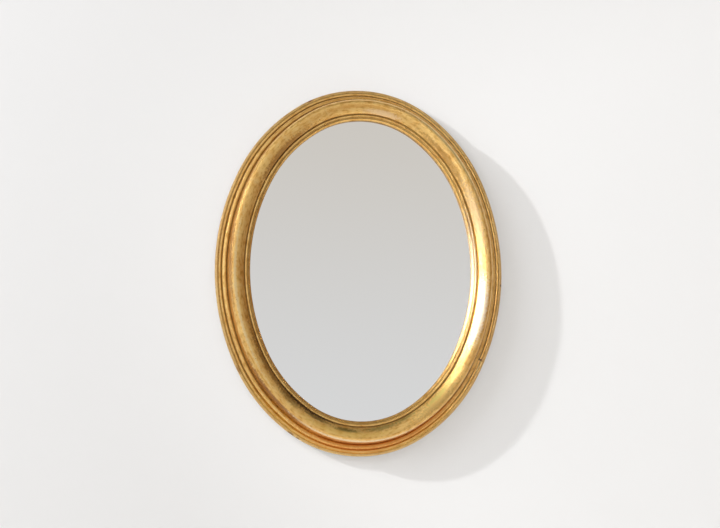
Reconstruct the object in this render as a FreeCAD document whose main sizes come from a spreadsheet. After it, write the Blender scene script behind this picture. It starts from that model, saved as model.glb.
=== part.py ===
import FreeCAD, Part
import Sketcher
import math
import os

# Oval wall mirror: a gilt wooden frame of four curved segments round a silvered glass.
# Millimetres and degrees. +Z is up, the glass faces -Y, and y = 0 is the wall behind it.
# The origin is the middle of the oval on the wall, which the four bumpers touch.
# The outline is an oval of tangent arcs that keeps within a quarter of a millimetre of an
# ellipse. Every line of the moulding runs parallel to it, so a place on the frame is given
# by its normal angle, its inset from the outermost line and its height off the back.

SIZES = {
    # The oval, and the normal angles at which its three arcs a quarter meet
    "oval_width": 393.0,
    "oval_height": 500.0,
    "joint_angle": 25.7,
    "crown_angle": 56.0,
    # The moulding's section from its outer edge inwards: widths
    "edge_recess": 1.2,
    "outer_bead_width": 3.6,
    "outer_groove_width": 1.1,
    "outer_fillet_width": 3.2,
    "second_bead_width": 5.6,
    "deep_groove_width": 1.2,
    "roll_wall_lean": 1.2,
    "roll_width": 20.4,
    "inner_groove_width": 1.6,
    "inner_fillet_width": 2.9,
    "bevel_width": 3.0,
    # The moulding's section: heights off the back, drops, radii and how far convex runs bulge
    "outer_bead_height": 6.0,
    "outer_bead_radius": 2.8,
    "outer_groove_height": 8.1,
    "outer_fillet_height": 9.6,
    "second_bead_outer_height": 9.9,
    "second_bead_inner_height": 13.4,
    "second_bead_bulge": 1.9,
    "deep_groove_height": 12.0,
    "roll_shoulder_radius": 6.2,
    "frame_depth": 32.0,
    "roll_drop": 4.6,
    "inner_groove_depth": 2.4,
    "inner_fillet_drop": 0.6,
    "fillet_bulge": 0.4,
    "bevel_drop": 1.7,
    "bevel_fall": 2.7,
    "lip_thickness": 3.0,
    # The rebates in the back that take the glass and the back panel
    "glass_overlap": 8.0,
    "glass_thickness": 4.0,
    "glass_clearance": 1.0,
    "panel_ledge_width": 4.0,
    "panel_thickness": 3.0,
    "panel_sink": 0.3,
    "panel_clearance": 0.8,
    # Dowels in the four joints
    "dowel_radius": 3.0,
    "dowel_length": 30.0,
    "dowel_chamfer": 0.6,
    "dowel_end_clearance": 0.5,
    "hole_clearance": 0.05,
    "front_dowel_inset": 21.5,
    "front_dowel_height": 17.5,
    "back_dowel_inset": 26.5,
    "back_dowel_height": 8.0,
    # Glass blocks
    "block_angle": 12.0,
    "block_crown_angle": 70.0,
    "block_width": 7.0,
    "block_length": 14.0,
    "block_clearance": 0.5,
    "block_chamfer": 2.5,
    # Screws: one pan-head wood screw is used for the turn buttons and for the hanger
    "screw_radius": 1.6,
    "screw_length": 14.0,
    "screw_point": 3.0,
    "screw_head_radius": 3.4,
    "screw_head_height": 1.9,
    "screw_rim_height": 0.7,
    "screw_slot_width": 0.8,
    "screw_slot_depth": 0.9,
    "screw_hole_spare": 1.0,
    # Turn buttons
    "button_crown_angle": 64.0,
    "button_inset": 26.0,
    "button_width": 9.0,
    "button_reach": 19.0,
    "button_tail": 6.0,
    "button_thickness": 1.2,
    "button_gap": 0.3,
    "running_clearance": 0.08,
    # Hanger
    "strap_width": 38.0,
    "strap_height": 11.0,
    "strap_thickness": 1.2,
    "strap_corner": 2.0,
    "strap_screw_spread": 28.0,
    "ring_wire_radius": 1.3,
    "ring_half_width": 8.0,
    "ring_corner": 2.5,
    "ring_leg": 4.5,
    "ring_gap": 0.3,
    "ring_top_inset": 4.0,
    "knuckle_length": 9.5,
    # Wall bumpers
    "bumper_angle": 43.0,
    "bumper_inset": 15.0,
    "bumper_radius": 7.0,
    "bumper_thickness": 6.0,
    "bumper_chamfer": 0.8,
}

doc = FreeCAD.newDocument("OvalMirror")
sheet = doc.addObject("Spreadsheet::Sheet", "Sizes")
for row, (alias, number) in enumerate(SIZES.items(), start=1):
    sheet.set(f"A{row}", alias)
    sheet.set(f"B{row}", str(number))
    sheet.setAlias(f"B{row}", alias)
doc.recompute()

# What follows from the sizes: each cell of this second sheet is a formula on the first.
# The side's and the crown's radii are those that bring the three tangent arcs of a quarter
# from the widest point to the highest: two sums, solved for two radii.
worked = doc.addObject("Spreadsheet::Sheet", "Worked")
FORMULAS = {
    "half_width": "Sizes.oval_width / 2",
    "half_height": "Sizes.oval_height / 2",
    "middle_radius": "(half_width + half_height) / 2",
    "side_sum": "middle_radius * (cos(Sizes.joint_angle) - cos(Sizes.crown_angle)) - half_width",
    "crown_sum": "half_height + middle_radius * (sin(Sizes.joint_angle) - sin(Sizes.crown_angle))",
    "arc_divisor": "(cos(Sizes.joint_angle) - 1) * (1 - sin(Sizes.crown_angle))"
                   " + cos(Sizes.crown_angle) * sin(Sizes.joint_angle)",
    "side_radius": "(side_sum * (1 - sin(Sizes.crown_angle))"
                   " + crown_sum * cos(Sizes.crown_angle)) / arc_divisor",
    "crown_radius": "(crown_sum * (cos(Sizes.joint_angle) - 1)"
                    " - side_sum * sin(Sizes.joint_angle)) / arc_divisor",
    "side_centre": "half_width - side_radius",
    "middle_centre_x": "side_centre + (side_radius - middle_radius) * cos(Sizes.joint_angle)",
    "middle_centre_z": "(side_radius - middle_radius) * sin(Sizes.joint_angle)",
    "crown_centre": "half_height - crown_radius",
    "outer_fillet_inset": "Sizes.outer_bead_width + Sizes.outer_groove_width",
    "inner_of_outer_fillet": "outer_fillet_inset + Sizes.outer_fillet_width",
    "second_bead_inset": "inner_of_outer_fillet + Sizes.outer_groove_width",
    "deep_groove_inset": "second_bead_inset + Sizes.second_bead_width",
    "roll_inset": "deep_groove_inset + Sizes.deep_groove_width",
    "crest_inset": "deep_groove_inset + Sizes.deep_groove_width / 2 + Sizes.roll_wall_lean"
                   " + Sizes.roll_shoulder_radius",
    "roll_inner_inset": "roll_inset + Sizes.roll_width",
    "inner_fillet_inset": "roll_inner_inset + Sizes.inner_groove_width",
    "inner_of_inner_fillet": "inner_fillet_inset + Sizes.inner_fillet_width",
    "bevel_inset": "inner_of_inner_fillet + Sizes.inner_groove_width",
    "sight_inset": "bevel_inset + Sizes.bevel_width",
    "roll_inner_height": "Sizes.frame_depth - Sizes.roll_drop",
    "inner_groove_height": "roll_inner_height - Sizes.inner_groove_depth",
    "inner_fillet_height": "roll_inner_height - Sizes.inner_fillet_drop",
    "bevel_outer_height": "roll_inner_height - Sizes.bevel_drop",
    "sight_edge_height": "bevel_outer_height - Sizes.bevel_fall",
    "glass_seat_height": "sight_edge_height - Sizes.lip_thickness",
    "rebate_inset": "sight_inset - Sizes.glass_overlap",
    "ledge_inset": "rebate_inset - Sizes.panel_ledge_width",
    "ledge_height": "Sizes.panel_thickness + Sizes.panel_sink",
    "glass_inset": "rebate_inset + Sizes.glass_clearance",
    "glass_back_height": "glass_seat_height - Sizes.glass_thickness",
    "panel_inset": "ledge_inset + Sizes.panel_clearance",
    "screw_hole_radius": "Sizes.screw_radius + Sizes.hole_clearance",
    "screw_hole_depth": "Sizes.screw_length + Sizes.screw_hole_spare",
    "button_outer_face": "Sizes.button_gap + Sizes.button_thickness",
    "ring_axis_height": "Sizes.strap_thickness + Sizes.ring_wire_radius + Sizes.ring_gap",
    "ring_rise": "Sizes.ring_leg + Sizes.ring_half_width + Sizes.ring_wire_radius",
    "ring_axis_z": "half_height - Sizes.ring_top_inset - ring_rise",
    "strap_screw_z": "ring_axis_z - Sizes.ring_wire_radius - Sizes.strap_height / 2",
}
for row, (alias, formula) in enumerate(FORMULAS.items(), start=1):
    worked.set(f"A{row}", alias)
    worked.set(f"B{row}", "=" + formula)
    worked.setAlias(f"B{row}", alias)
    doc.recompute([worked])

parts = []


def value(expression):
    """The number that an expression on the two sheets gives."""
    return float(worked.evalExpression(expression))


def placed(x, behind, z, turn="0"):
    """A placement turned about the Y axis; behind is the distance behind the frame's back."""
    return (f"placement(vector({x}; {behind} - Sizes.bumper_thickness; {z});"
            f" rotation(vector(0; 1; 0); {turn}))")


# Small tools for sketches and features

def plane_of(body, role):
    return next(item for item in body.Origin.OriginFeatures if item.Role == role)


def new_body(label, place):
    """A body with its own label; place is an expression for its placement."""
    body = doc.addObject("PartDesign::Body", label)
    body.Label = label
    body.setExpression("Placement", place)
    parts.append(body)
    return body


def new_sketch(body, name, role, offset=None):
    """A sketch on one of its own body's origin planes; offset is an expression."""
    sketch = body.newObject("Sketcher::SketchObject", name)
    sketch.AttachmentSupport = [(plane_of(body, role), "")]
    sketch.MapMode = "FlatFace"
    if offset:
        sketch.setExpression("AttachmentOffset", offset)
    return sketch


def bind(sketch, kind, name, expression, *where):
    """Adds one constraint and binds its datum to the sheets."""
    number = value(expression)
    index = sketch.addConstraint(Sketcher.Constraint(kind, *where, number))
    sketch.renameConstraint(index, name)
    sketch.setExpression(f"Constraints.{name}", expression)


def outline(sketch, corners, closed=True):
    """Draws edges from corner to corner, clockwise where closed.

    A corner is (x, y, radius): expressions for its place and for the radius of the edge that
    follows it, or None for a straight one.
    """
    spots = [FreeCAD.Vector(value(x), value(y), 0) for x, y, _ in corners]
    edges = len(corners) if closed else len(corners) - 1
    for i in range(edges):
        start, end = spots[i], spots[(i + 1) % len(spots)]
        radius = corners[i][2]
        if radius is None:
            sketch.addGeometry(Part.LineSegment(start, end), False)
        else:
            bulge = Part.Arc(start, arc_middle(start, end, value(radius)), end)
            sketch.addGeometry(bulge, False)
    starts = [start_point(sketch, i, spots[i]) for i in range(edges)]
    for i in range(edges):
        follower = i + 1
        if follower < edges:
            join(sketch, i, starts[i], follower, starts[follower])
        elif closed:
            join(sketch, i, starts[i], 0, starts[0])
    for i in range(edges):
        x, y, radius = corners[i]
        bind(sketch, "DistanceX", f"x{i}", x, -1, 1, i, starts[i])
        bind(sketch, "DistanceY", f"y{i}", y, -1, 1, i, starts[i])
        if radius is not None:
            bind(sketch, "Radius", f"r{i}", radius, i)
    if not closed:
        x, y, _ = corners[-1]
        last = 3 - starts[-1]
        bind(sketch, "DistanceX", "x_end", x, -1, 1, edges - 1, last)
        bind(sketch, "DistanceY", "y_end", y, -1, 1, edges - 1, last)


def arc_middle(start, end, radius):
    """The middle of an arc of under half a circle that bulges to the left of its chord."""
    chord = end - start
    half = chord.Length / 2
    rise = radius - math.sqrt(max(radius * radius - half * half, 0.0))
    left = FreeCAD.Vector(-chord.y, chord.x, 0).normalize()
    return start + chord / 2 + left * rise


def start_point(sketch, index, spot):
    """Which end of an edge lies at the spot: 1 or 2, because an arc may be stored reversed."""
    return 1 if sketch.getPoint(index, 1).distanceToPoint(spot) < sketch.getPoint(
        index, 2).distanceToPoint(spot) else 2


def join(sketch, first, first_start, second, second_start):
    sketch.addConstraint(
        Sketcher.Constraint("Coincident", first, 3 - first_start, second, second_start))


def circle(sketch, name, x, y, radius):
    """A circle whose centre and radius are expressions."""
    centre = FreeCAD.Vector(value(x), value(y), 0)
    shape = Part.Circle(centre, FreeCAD.Vector(0, 0, 1), value(radius))
    index = sketch.addGeometry(shape, False)
    bind(sketch, "DistanceX", f"{name}_x", x, -1, 1, index, 3)
    bind(sketch, "DistanceY", f"{name}_y", y, -1, 1, index, 3)
    bind(sketch, "Radius", f"{name}_radius", radius, index)


def pad(body, sketch, name, length, middle=False, backwards=False):
    feature = body.newObject("PartDesign::Pad", name)
    feature.Profile = sketch
    feature.setExpression("Length", length)
    feature.Midplane = middle
    feature.Reversed = backwards
    doc.recompute()
    return feature


def pocket(body, sketch, name, length, backwards=False, middle=False):
    """A pocket, which has to take something away."""
    before = body.Shape.Volume
    feature = body.newObject("PartDesign::Pocket", name)
    feature.Profile = sketch
    feature.setExpression("Length", length)
    feature.Midplane = middle
    feature.Reversed = backwards
    doc.recompute()
    if not body.Shape.Volume < before:
        raise RuntimeError(f"{body.Label}: {name} cuts nothing")
    return feature


def chamfer(body, base, name, edges, size):
    feature = body.newObject("PartDesign::Chamfer", name)
    feature.Base = (base, edges)
    feature.setExpression("Size", size)
    doc.recompute()
    return feature


def round_edges(feature):
    """The names of a feature's circular edges."""
    return [f"Edge{number}" for number, edge in enumerate(feature.Shape.Edges, start=1)
            if isinstance(edge.Curve, Part.Circle)]


# Places on the oval

def on_arc(part_of_quarter, angle, inset):
    """Expressions for the point in the first quarter at a normal angle and an inset."""
    centre_x, centre_z, radius = {
        "side": ("Worked.side_centre", "0", "Worked.side_radius"),
        "middle": ("Worked.middle_centre_x", "Worked.middle_centre_z", "Worked.middle_radius"),
        "crown": ("0", "Worked.crown_centre", "Worked.crown_radius"),
    }[part_of_quarter]
    run = f"({radius} - ({inset}))"
    return (f"({centre_x} + {run} * cos({angle}))", f"({centre_z} + {run} * sin({angle}))")


def arc_name(angle):
    """Which arc of the quarter holds a normal angle."""
    if value(angle) <= SIZES["joint_angle"]:
        return "side"
    return "middle" if value(angle) <= SIZES["crown_angle"] else "crown"


def seat(angle, inset, behind, right=True, upper=True):
    """A placement on the frame: local x points outwards, y backwards and z along the oval."""
    x, z = on_arc(arc_name(angle), angle, inset)
    turn = angle if upper == right else f"-({angle})"
    turn = turn if right else f"180 + {turn}"
    side, level = ("1" if right else "-1"), ("1" if upper else "-1")
    return placed(f"{side} * {x}", behind, f"{level} * {z}", f"-({turn})")


def oval_corners(inset):
    """The eight corners of a whole oval at an inset, clockwise from the upper right joint."""
    joint_x, joint_z = on_arc("side", "Sizes.joint_angle", inset)
    crown_x, crown_z = on_arc("crown", "Sizes.crown_angle", inset)
    side, middle, crown = (f"(Worked.{name}_radius - ({inset}))"
                           for name in ("side", "middle", "crown"))
    return [
        (joint_x, joint_z, side),
        (joint_x, f"-{joint_z}", middle),
        (crown_x, f"-{crown_z}", crown),
        (f"-{crown_x}", f"-{crown_z}", middle),
        (f"-{joint_x}", f"-{joint_z}", side),
        (f"-{joint_x}", joint_z, middle),
        (f"-{crown_x}", crown_z, crown),
        (crown_x, crown_z, middle),
    ]


# The frame: four curved segments of one moulding, dowelled end to end

def bulge_radius(run, rise, bulge):
    """The radius of an arc over a run and a rise that stands off its chord by the bulge."""
    return f"((({run}) ^ 2 + ({rise}) ^ 2) / 4 + ({bulge}) ^ 2) / (2 * {bulge})"


def moulding_section():
    """The moulding's outline as (inset, height, radius), from the back's outer corner."""
    bead = "Sizes.outer_bead_radius"
    below_bead = f"sqrt(2 * {bead} * Sizes.edge_recess - Sizes.edge_recess ^ 2)"
    above_bead = f"sqrt({bead} ^ 2 - (Sizes.outer_bead_width - {bead}) ^ 2)"
    half_outer_groove = "Sizes.outer_groove_width / 2"
    half_inner_groove = "Sizes.inner_groove_width / 2"
    slope_run = "(Worked.roll_inner_inset - Worked.crest_inset)"
    return [
        ("Sizes.edge_recess", "0", None),
        ("Sizes.edge_recess", f"Sizes.outer_bead_height - {below_bead}", bead),
        ("Sizes.outer_bead_width", f"Sizes.outer_bead_height + {above_bead}", None),
        (f"Sizes.outer_bead_width + {half_outer_groove}", "Sizes.outer_groove_height", None),
        ("Worked.outer_fillet_inset", "Sizes.outer_fillet_height",
         bulge_radius("Sizes.outer_fillet_width", "0", "Sizes.fillet_bulge")),
        ("Worked.inner_of_outer_fillet", "Sizes.outer_fillet_height", None),
        (f"Worked.inner_of_outer_fillet + {half_outer_groove}",
         "Sizes.outer_groove_height", None),
        ("Worked.second_bead_inset", "Sizes.second_bead_outer_height",
         bulge_radius("Sizes.second_bead_width",
                      "Sizes.second_bead_inner_height - Sizes.second_bead_outer_height",
                      "Sizes.second_bead_bulge")),
        ("Worked.deep_groove_inset", "Sizes.second_bead_inner_height", None),
        ("Worked.deep_groove_inset + Sizes.deep_groove_width / 2",
         "Sizes.deep_groove_height", None),
        ("Worked.crest_inset - Sizes.roll_shoulder_radius",
         "Sizes.frame_depth - Sizes.roll_shoulder_radius", "Sizes.roll_shoulder_radius"),
        ("Worked.crest_inset", "Sizes.frame_depth",
         f"({slope_run} ^ 2 + Sizes.roll_drop ^ 2) / (2 * Sizes.roll_drop)"),
        ("Worked.roll_inner_inset", "Worked.roll_inner_height", None),
        (f"Worked.roll_inner_inset + {half_inner_groove}", "Worked.inner_groove_height", None),
        ("Worked.inner_fillet_inset", "Worked.inner_fillet_height",
         bulge_radius("Sizes.inner_fillet_width", "0", "Sizes.fillet_bulge")),
        ("Worked.inner_of_inner_fillet", "Worked.inner_fillet_height", None),
        (f"Worked.inner_of_inner_fillet + {half_inner_groove}",
         "Worked.inner_groove_height", None),
        ("Worked.bevel_inset", "Worked.bevel_outer_height", None),
        ("Worked.sight_inset", "Worked.sight_edge_height", None),
        ("Worked.sight_inset", "Worked.glass_seat_height", None),
        ("Worked.rebate_inset", "Worked.glass_seat_height", None),
        ("Worked.rebate_inset", "Worked.ledge_height", None),
        ("Worked.ledge_inset", "Worked.ledge_height", None),
        ("Worked.ledge_inset", "0", None),
    ]


def section_plane(angle, part_of_quarter):
    """Turns the XY plane so that x points outwards across the moulding at a normal angle."""
    x, z = on_arc(part_of_quarter, angle, "0")
    return f"placement(vector({x}; 0; {z}); rotation(vector(0; 1; 0); -({angle})))"


def frame_segment(label, is_side, turned, screws):
    """Half a segment swept along the oval, drilled for its dowels, mirrored, then drilled."""
    body = new_body(label, placed("0", "0", "0", "180" if turned else "0"))
    first_angle, first_arc = ("0", "side") if is_side else ("90", "crown")
    section = new_sketch(body, "Section", "XY_Plane", section_plane(first_angle, first_arc))
    outline(section, [(f"-({inset})", f"-({height})", radius)
                      for inset, height, radius in moulding_section()])
    path = new_sketch(body, "Path", "XZ_Plane")
    joint_x, joint_z = on_arc("side", "Sizes.joint_angle", "0")
    crown_x, crown_z = on_arc("crown", "Sizes.crown_angle", "0")
    if is_side:
        outline(path, [(joint_x, joint_z, "Worked.side_radius"),
                       ("Worked.half_width", "0", None)], closed=False)
    else:
        outline(path, [("0", "Worked.half_height", "Worked.crown_radius"),
                       (crown_x, crown_z, "Worked.middle_radius"),
                       (joint_x, joint_z, None)], closed=False)
    doc.recompute()
    sweep = body.newObject("PartDesign::AdditivePipe", "Moulding")
    sweep.Profile = section
    sweep.Spine = (path, [])
    sweep.Mode = "Frenet"
    doc.recompute()
    holes = new_sketch(body, "DowelHoles", "XY_Plane",
                       section_plane("Sizes.joint_angle", "side"))
    for which in ("front", "back"):
        circle(holes, which, f"-Sizes.{which}_dowel_inset", f"-Sizes.{which}_dowel_height",
               "Sizes.dowel_radius + Sizes.hole_clearance")
    drilled = pocket(body, holes, "Dowelling",
                     "Sizes.dowel_length / 2 + Sizes.dowel_end_clearance",
                     backwards=not is_side)
    both = body.newObject("PartDesign::Mirrored", "BothHalves")
    both.Originals = [sweep, drilled]
    both.MirrorPlane = (plane_of(body, "XY_Plane" if is_side else "YZ_Plane"), [""])
    body.Tip = both
    doc.recompute()
    pilots = new_sketch(body, "PilotHoles", "XZ_Plane")
    for number, (x, z) in enumerate(screws):
        circle(pilots, f"pilot{number}", x, z, "Worked.screw_hole_radius")
    pocket(body, pilots, "Pilots", "Worked.screw_hole_depth", backwards=True)


def make_frame():
    button_x, button_z = on_arc(arc_name("Sizes.button_crown_angle"),
                                "Sizes.button_crown_angle", "Sizes.button_inset")
    crown_screws = [(button_x, button_z), (f"-{button_x}", button_z)]
    side_screws = [("Worked.half_width - Sizes.button_inset", "0")]
    hanger_screws = [("Sizes.strap_screw_spread / 2", "Worked.strap_screw_z"),
                     ("-Sizes.strap_screw_spread / 2", "Worked.strap_screw_z")]
    frame_segment("frame_top_segment", False, False, crown_screws + hanger_screws)
    frame_segment("frame_right_segment", True, False, side_screws)
    frame_segment("frame_bottom_segment", False, True, crown_screws)
    frame_segment("frame_left_segment", True, True, side_screws)


def corners_of_oval():
    """The four quarters, named, with whether each is right and upper."""
    return [("upper_right", True, True), ("upper_left", False, True),
            ("lower_left", False, False), ("lower_right", True, False)]


def make_dowels():
    """Two beech pins across each joint, half in one segment and half in the next."""
    for quarter, right, upper in corners_of_oval():
        for which in ("front", "back"):
            place = seat("Sizes.joint_angle", f"Sizes.{which}_dowel_inset",
                         f"-Sizes.{which}_dowel_height", right, upper)
            body = new_body(f"dowel_{quarter}_{which}", place)
            sketch = new_sketch(body, "Round", "XY_Plane")
            circle(sketch, "pin", "0", "0", "Sizes.dowel_radius")
            pin = pad(body, sketch, "Pin", "Sizes.dowel_length", middle=True)
            chamfer(body, pin, "Ends", round_edges(pin), "Sizes.dowel_chamfer")


# What the frame holds

def make_plate(label, inset, back_height, thickness):
    """An oval plate that lies parallel to the back; back_height is that of its rear face."""
    body = new_body(label, placed("0", f"-{back_height}", "0"))
    sketch = new_sketch(body, "Oval", "XZ_Plane")
    outline(sketch, oval_corners(inset))
    pad(body, sketch, "Plate", thickness)


def make_glass_blocks():
    """Wooden blocks between glass and panel that keep the glass on its seat and centred."""
    gap = "(Worked.glass_back_height - Worked.ledge_height)"
    for quarter, right, upper in corners_of_oval():
        for level, angle in (("side", "Sizes.block_angle"), ("end", "Sizes.block_crown_angle")):
            place = seat(angle, "Worked.rebate_inset + Sizes.block_clearance",
                         "-Worked.ledge_height", right, upper)
            body = new_body(f"glass_block_{quarter}_{level}", place)
            sketch = new_sketch(body, "Section", "XY_Plane")
            outline(sketch, [
                ("-Sizes.block_width", f"-{gap}", None),
                ("-Sizes.block_width", "-Sizes.block_chamfer", None),
                ("-Sizes.block_width + Sizes.block_chamfer", "0", None),
                ("0", "0", None),
                ("0", f"-{gap}", None),
            ])
            pad(body, sketch, "Block", "Sizes.block_length", middle=True)


# Screws, turn buttons, hanger and bumpers

def make_screw(label, place):
    """A slotted pan-head wood screw; its head's underside is at local y = 0."""
    body = new_body(label, place)
    sketch = new_sketch(body, "Section", "XY_Plane")
    crown = "(Sizes.screw_head_height - Sizes.screw_rim_height)"
    outline(sketch, [
        ("0", "Sizes.screw_head_height",
         f"(Sizes.screw_head_radius ^ 2 + {crown} ^ 2) / (2 * {crown})"),
        ("Sizes.screw_head_radius", "Sizes.screw_rim_height", None),
        ("Sizes.screw_head_radius", "0", None),
        ("Sizes.screw_radius", "0", None),
        ("Sizes.screw_radius", "Sizes.screw_point - Sizes.screw_length", None),
        ("0", "-Sizes.screw_length", None),
    ])
    turned = body.newObject("PartDesign::Revolution", "Turned")
    turned.Profile = sketch
    turned.ReferenceAxis = (sketch, ["V_Axis"])
    doc.recompute()
    slot = new_sketch(body, "Slot", "YZ_Plane")
    outline(slot, [
        ("Sizes.screw_head_height", "-Sizes.screw_slot_width / 2", None),
        ("Sizes.screw_head_height - Sizes.screw_slot_depth",
         "-Sizes.screw_slot_width / 2", None),
        ("Sizes.screw_head_height - Sizes.screw_slot_depth",
         "Sizes.screw_slot_width / 2", None),
        ("Sizes.screw_head_height", "Sizes.screw_slot_width / 2", None),
    ])
    pocket(body, slot, "DriverSlot", "2 * Sizes.screw_head_radius", middle=True)


def make_button(label, place):
    """A flat turn button: a long end over the panel and a short tail past its screw."""
    body = new_body(label, place)
    sketch = new_sketch(body, "Outline", "XZ_Plane")
    half = "Sizes.button_width / 2"
    tip, tail = f"-(Sizes.button_reach - {half})", f"(Sizes.button_tail - {half})"
    outline(sketch, [
        (tip, f"-{half}", half),
        ("-Sizes.button_reach", "0", half),
        (tip, half, None),
        (tail, half, half),
        ("Sizes.button_tail", "0", half),
        (tail, f"-{half}", None),
    ])
    circle(sketch, "hole", "0", "0", "Sizes.screw_radius + Sizes.running_clearance")
    pad(body, sketch, "Strip", "Sizes.button_thickness")


def make_buttons():
    """Six turn buttons and their screws: one at each side and two at each end."""
    places = [("right", "0", True, True), ("left", "0", False, True)]
    places += [(quarter, "Sizes.button_crown_angle", right, upper)
               for quarter, right, upper in corners_of_oval()]
    for name, angle, right, upper in places:
        make_button(f"turn_button_{name}", seat(
            angle, "Sizes.button_inset", "Worked.button_outer_face", right, upper))
        make_screw(f"button_screw_{name}", seat(
            angle, "Sizes.button_inset", "Worked.button_outer_face + Sizes.button_gap",
            right, upper))


def make_hanger():
    """A strap screwed to the top segment, and the ring that swings in its knuckle."""
    strap = new_body("hanger_strap", placed("0", "0", "Worked.ring_axis_z"))
    plate = new_sketch(strap, "Plate", "XZ_Plane")
    half, corner = "Sizes.strap_width / 2", "Sizes.strap_corner"
    top = "-Sizes.ring_wire_radius"
    foot = "(-Sizes.ring_wire_radius - Sizes.strap_height)"
    outline(plate, [
        (f"-{half}", f"{foot} + {corner}", None),
        (f"-{half}", f"{top} - {corner}", corner),
        (f"-{half} + {corner}", top, None),
        (f"{half} - {corner}", top, corner),
        (half, f"{top} - {corner}", None),
        (half, f"{foot} + {corner}", corner),
        (f"{half} - {corner}", foot, None),
        (f"-{half} + {corner}", foot, corner),
    ])
    for side, sign in (("right", ""), ("left", "-")):
        circle(plate, side, f"{sign}Sizes.strap_screw_spread / 2",
               "Worked.strap_screw_z - Worked.ring_axis_z", "Worked.screw_hole_radius")
    pad(strap, plate, "Strip", "Sizes.strap_thickness", backwards=True)
    barrel = new_sketch(strap, "Knuckle", "YZ_Plane")
    circle(barrel, "outside", "Worked.ring_axis_height", "0", "Worked.ring_axis_height")
    circle(barrel, "bore", "Worked.ring_axis_height", "0",
           "Sizes.ring_wire_radius + Sizes.running_clearance")
    pad(strap, barrel, "Barrel", "Sizes.knuckle_length", middle=True)

    ring = new_body("hanger_ring", placed("0", "Worked.ring_axis_height",
                                          "Worked.ring_axis_z"))
    path = new_sketch(ring, "Path", "XZ_Plane")
    wide, bend, leg = "Sizes.ring_half_width", "Sizes.ring_corner", "Sizes.ring_leg"
    outline(path, [
        ("0", "0", None),
        (f"-{wide} + {bend}", "0", bend),
        (f"-{wide}", bend, None),
        (f"-{wide}", leg, wide),
        ("0", f"{leg} + {wide}", wide),
        (wide, leg, None),
        (wide, bend, bend),
        (f"{wide} - {bend}", "0", None),
    ])
    wire = new_sketch(ring, "Wire", "YZ_Plane")
    circle(wire, "wire", "0", "0", "Sizes.ring_wire_radius")
    doc.recompute()
    bent = ring.newObject("PartDesign::AdditivePipe", "BentWire")
    bent.Profile = wire
    bent.Spine = (path, [])
    bent.Mode = "Frenet"
    doc.recompute()

    for side, sign in (("right", ""), ("left", "-")):
        make_screw(f"hanger_screw_{side}", placed(
            f"{sign}Sizes.strap_screw_spread / 2", "Sizes.strap_thickness",
            "Worked.strap_screw_z"))


def make_bumpers():
    """Four round pads that keep the back off the wall."""
    for quarter, right, upper in corners_of_oval():
        body = new_body(f"wall_bumper_{quarter}", seat(
            "Sizes.bumper_angle", "Sizes.bumper_inset", "0", right, upper))
        sketch = new_sketch(body, "Round", "XZ_Plane")
        circle(sketch, "pad", "0", "0", "Sizes.bumper_radius")
        disc = pad(body, sketch, "Disc", "Sizes.bumper_thickness", backwards=True)
        rims = [name for name in round_edges(disc)
                if disc.Shape.getElement(name).CenterOfMass.y > 0]
        chamfer(body, disc, "Rim", rims, "Sizes.bumper_chamfer")


make_frame()
make_dowels()
make_plate("mirror_glass", "Worked.glass_inset", "Worked.glass_back_height",
           "Sizes.glass_thickness")
make_glass_blocks()
make_plate("back_panel", "Worked.panel_inset", "Sizes.panel_sink", "Sizes.panel_thickness")
make_buttons()
make_hanger()
make_bumpers()
doc.recompute()

for item in doc.Objects:
    if "Invalid" in item.State or "Error" in item.State:
        raise RuntimeError(f"{item.Label} failed: {item.State}")
for body in parts:
    if body.Shape.isNull() or not body.Shape.isValid() or len(body.Shape.Solids) != 1:
        raise RuntimeError(f"{body.Label} is not one valid solid")

os.makedirs("parts", exist_ok=True)
for body in parts:
    body.Shape.exportStep(f"parts/{body.Label}.step")
    print(f"{body.Label}: {body.Shape.Volume:.0f} mm3")
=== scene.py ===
import logging
import math
from dataclasses import dataclass, field
from enum import Enum
from typing import Iterable

import bmesh
import bpy
from mathutils import Matrix, Vector, noise


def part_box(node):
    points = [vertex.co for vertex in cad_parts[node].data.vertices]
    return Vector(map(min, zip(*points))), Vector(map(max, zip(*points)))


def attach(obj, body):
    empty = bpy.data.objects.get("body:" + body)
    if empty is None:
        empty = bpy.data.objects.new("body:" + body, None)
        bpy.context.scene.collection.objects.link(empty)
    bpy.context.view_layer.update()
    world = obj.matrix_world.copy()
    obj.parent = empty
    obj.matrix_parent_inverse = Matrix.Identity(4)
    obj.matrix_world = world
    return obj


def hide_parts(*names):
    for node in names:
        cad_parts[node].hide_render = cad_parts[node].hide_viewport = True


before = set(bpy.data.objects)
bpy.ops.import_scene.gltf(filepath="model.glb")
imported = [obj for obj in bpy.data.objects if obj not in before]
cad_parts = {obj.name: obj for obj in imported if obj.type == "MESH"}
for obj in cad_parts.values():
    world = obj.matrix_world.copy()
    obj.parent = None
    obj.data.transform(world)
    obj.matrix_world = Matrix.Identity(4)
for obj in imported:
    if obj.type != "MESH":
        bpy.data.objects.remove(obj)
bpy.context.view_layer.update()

# Oval wall mirror: what the eye sees of it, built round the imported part.
# Metres. +Z is up, the glass faces -Y, and y = 0 is the wall. Sizes named in millimetres are
# turned to metres by MM where they are used. Places nearer than CLOSE count as one.

MM = 0.001
CLOSE = 1e-6
SMOOTH = {"interpolation_type": "SMOOTHSTEP"}
COLOUR = {"data_type": "RGBA"}
log = logging.getLogger("oval_mirror")

Tree = bpy.types.NodeTree
Socket = bpy.types.NodeSocket
Layer = bmesh.types.BMLayerItem


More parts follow.
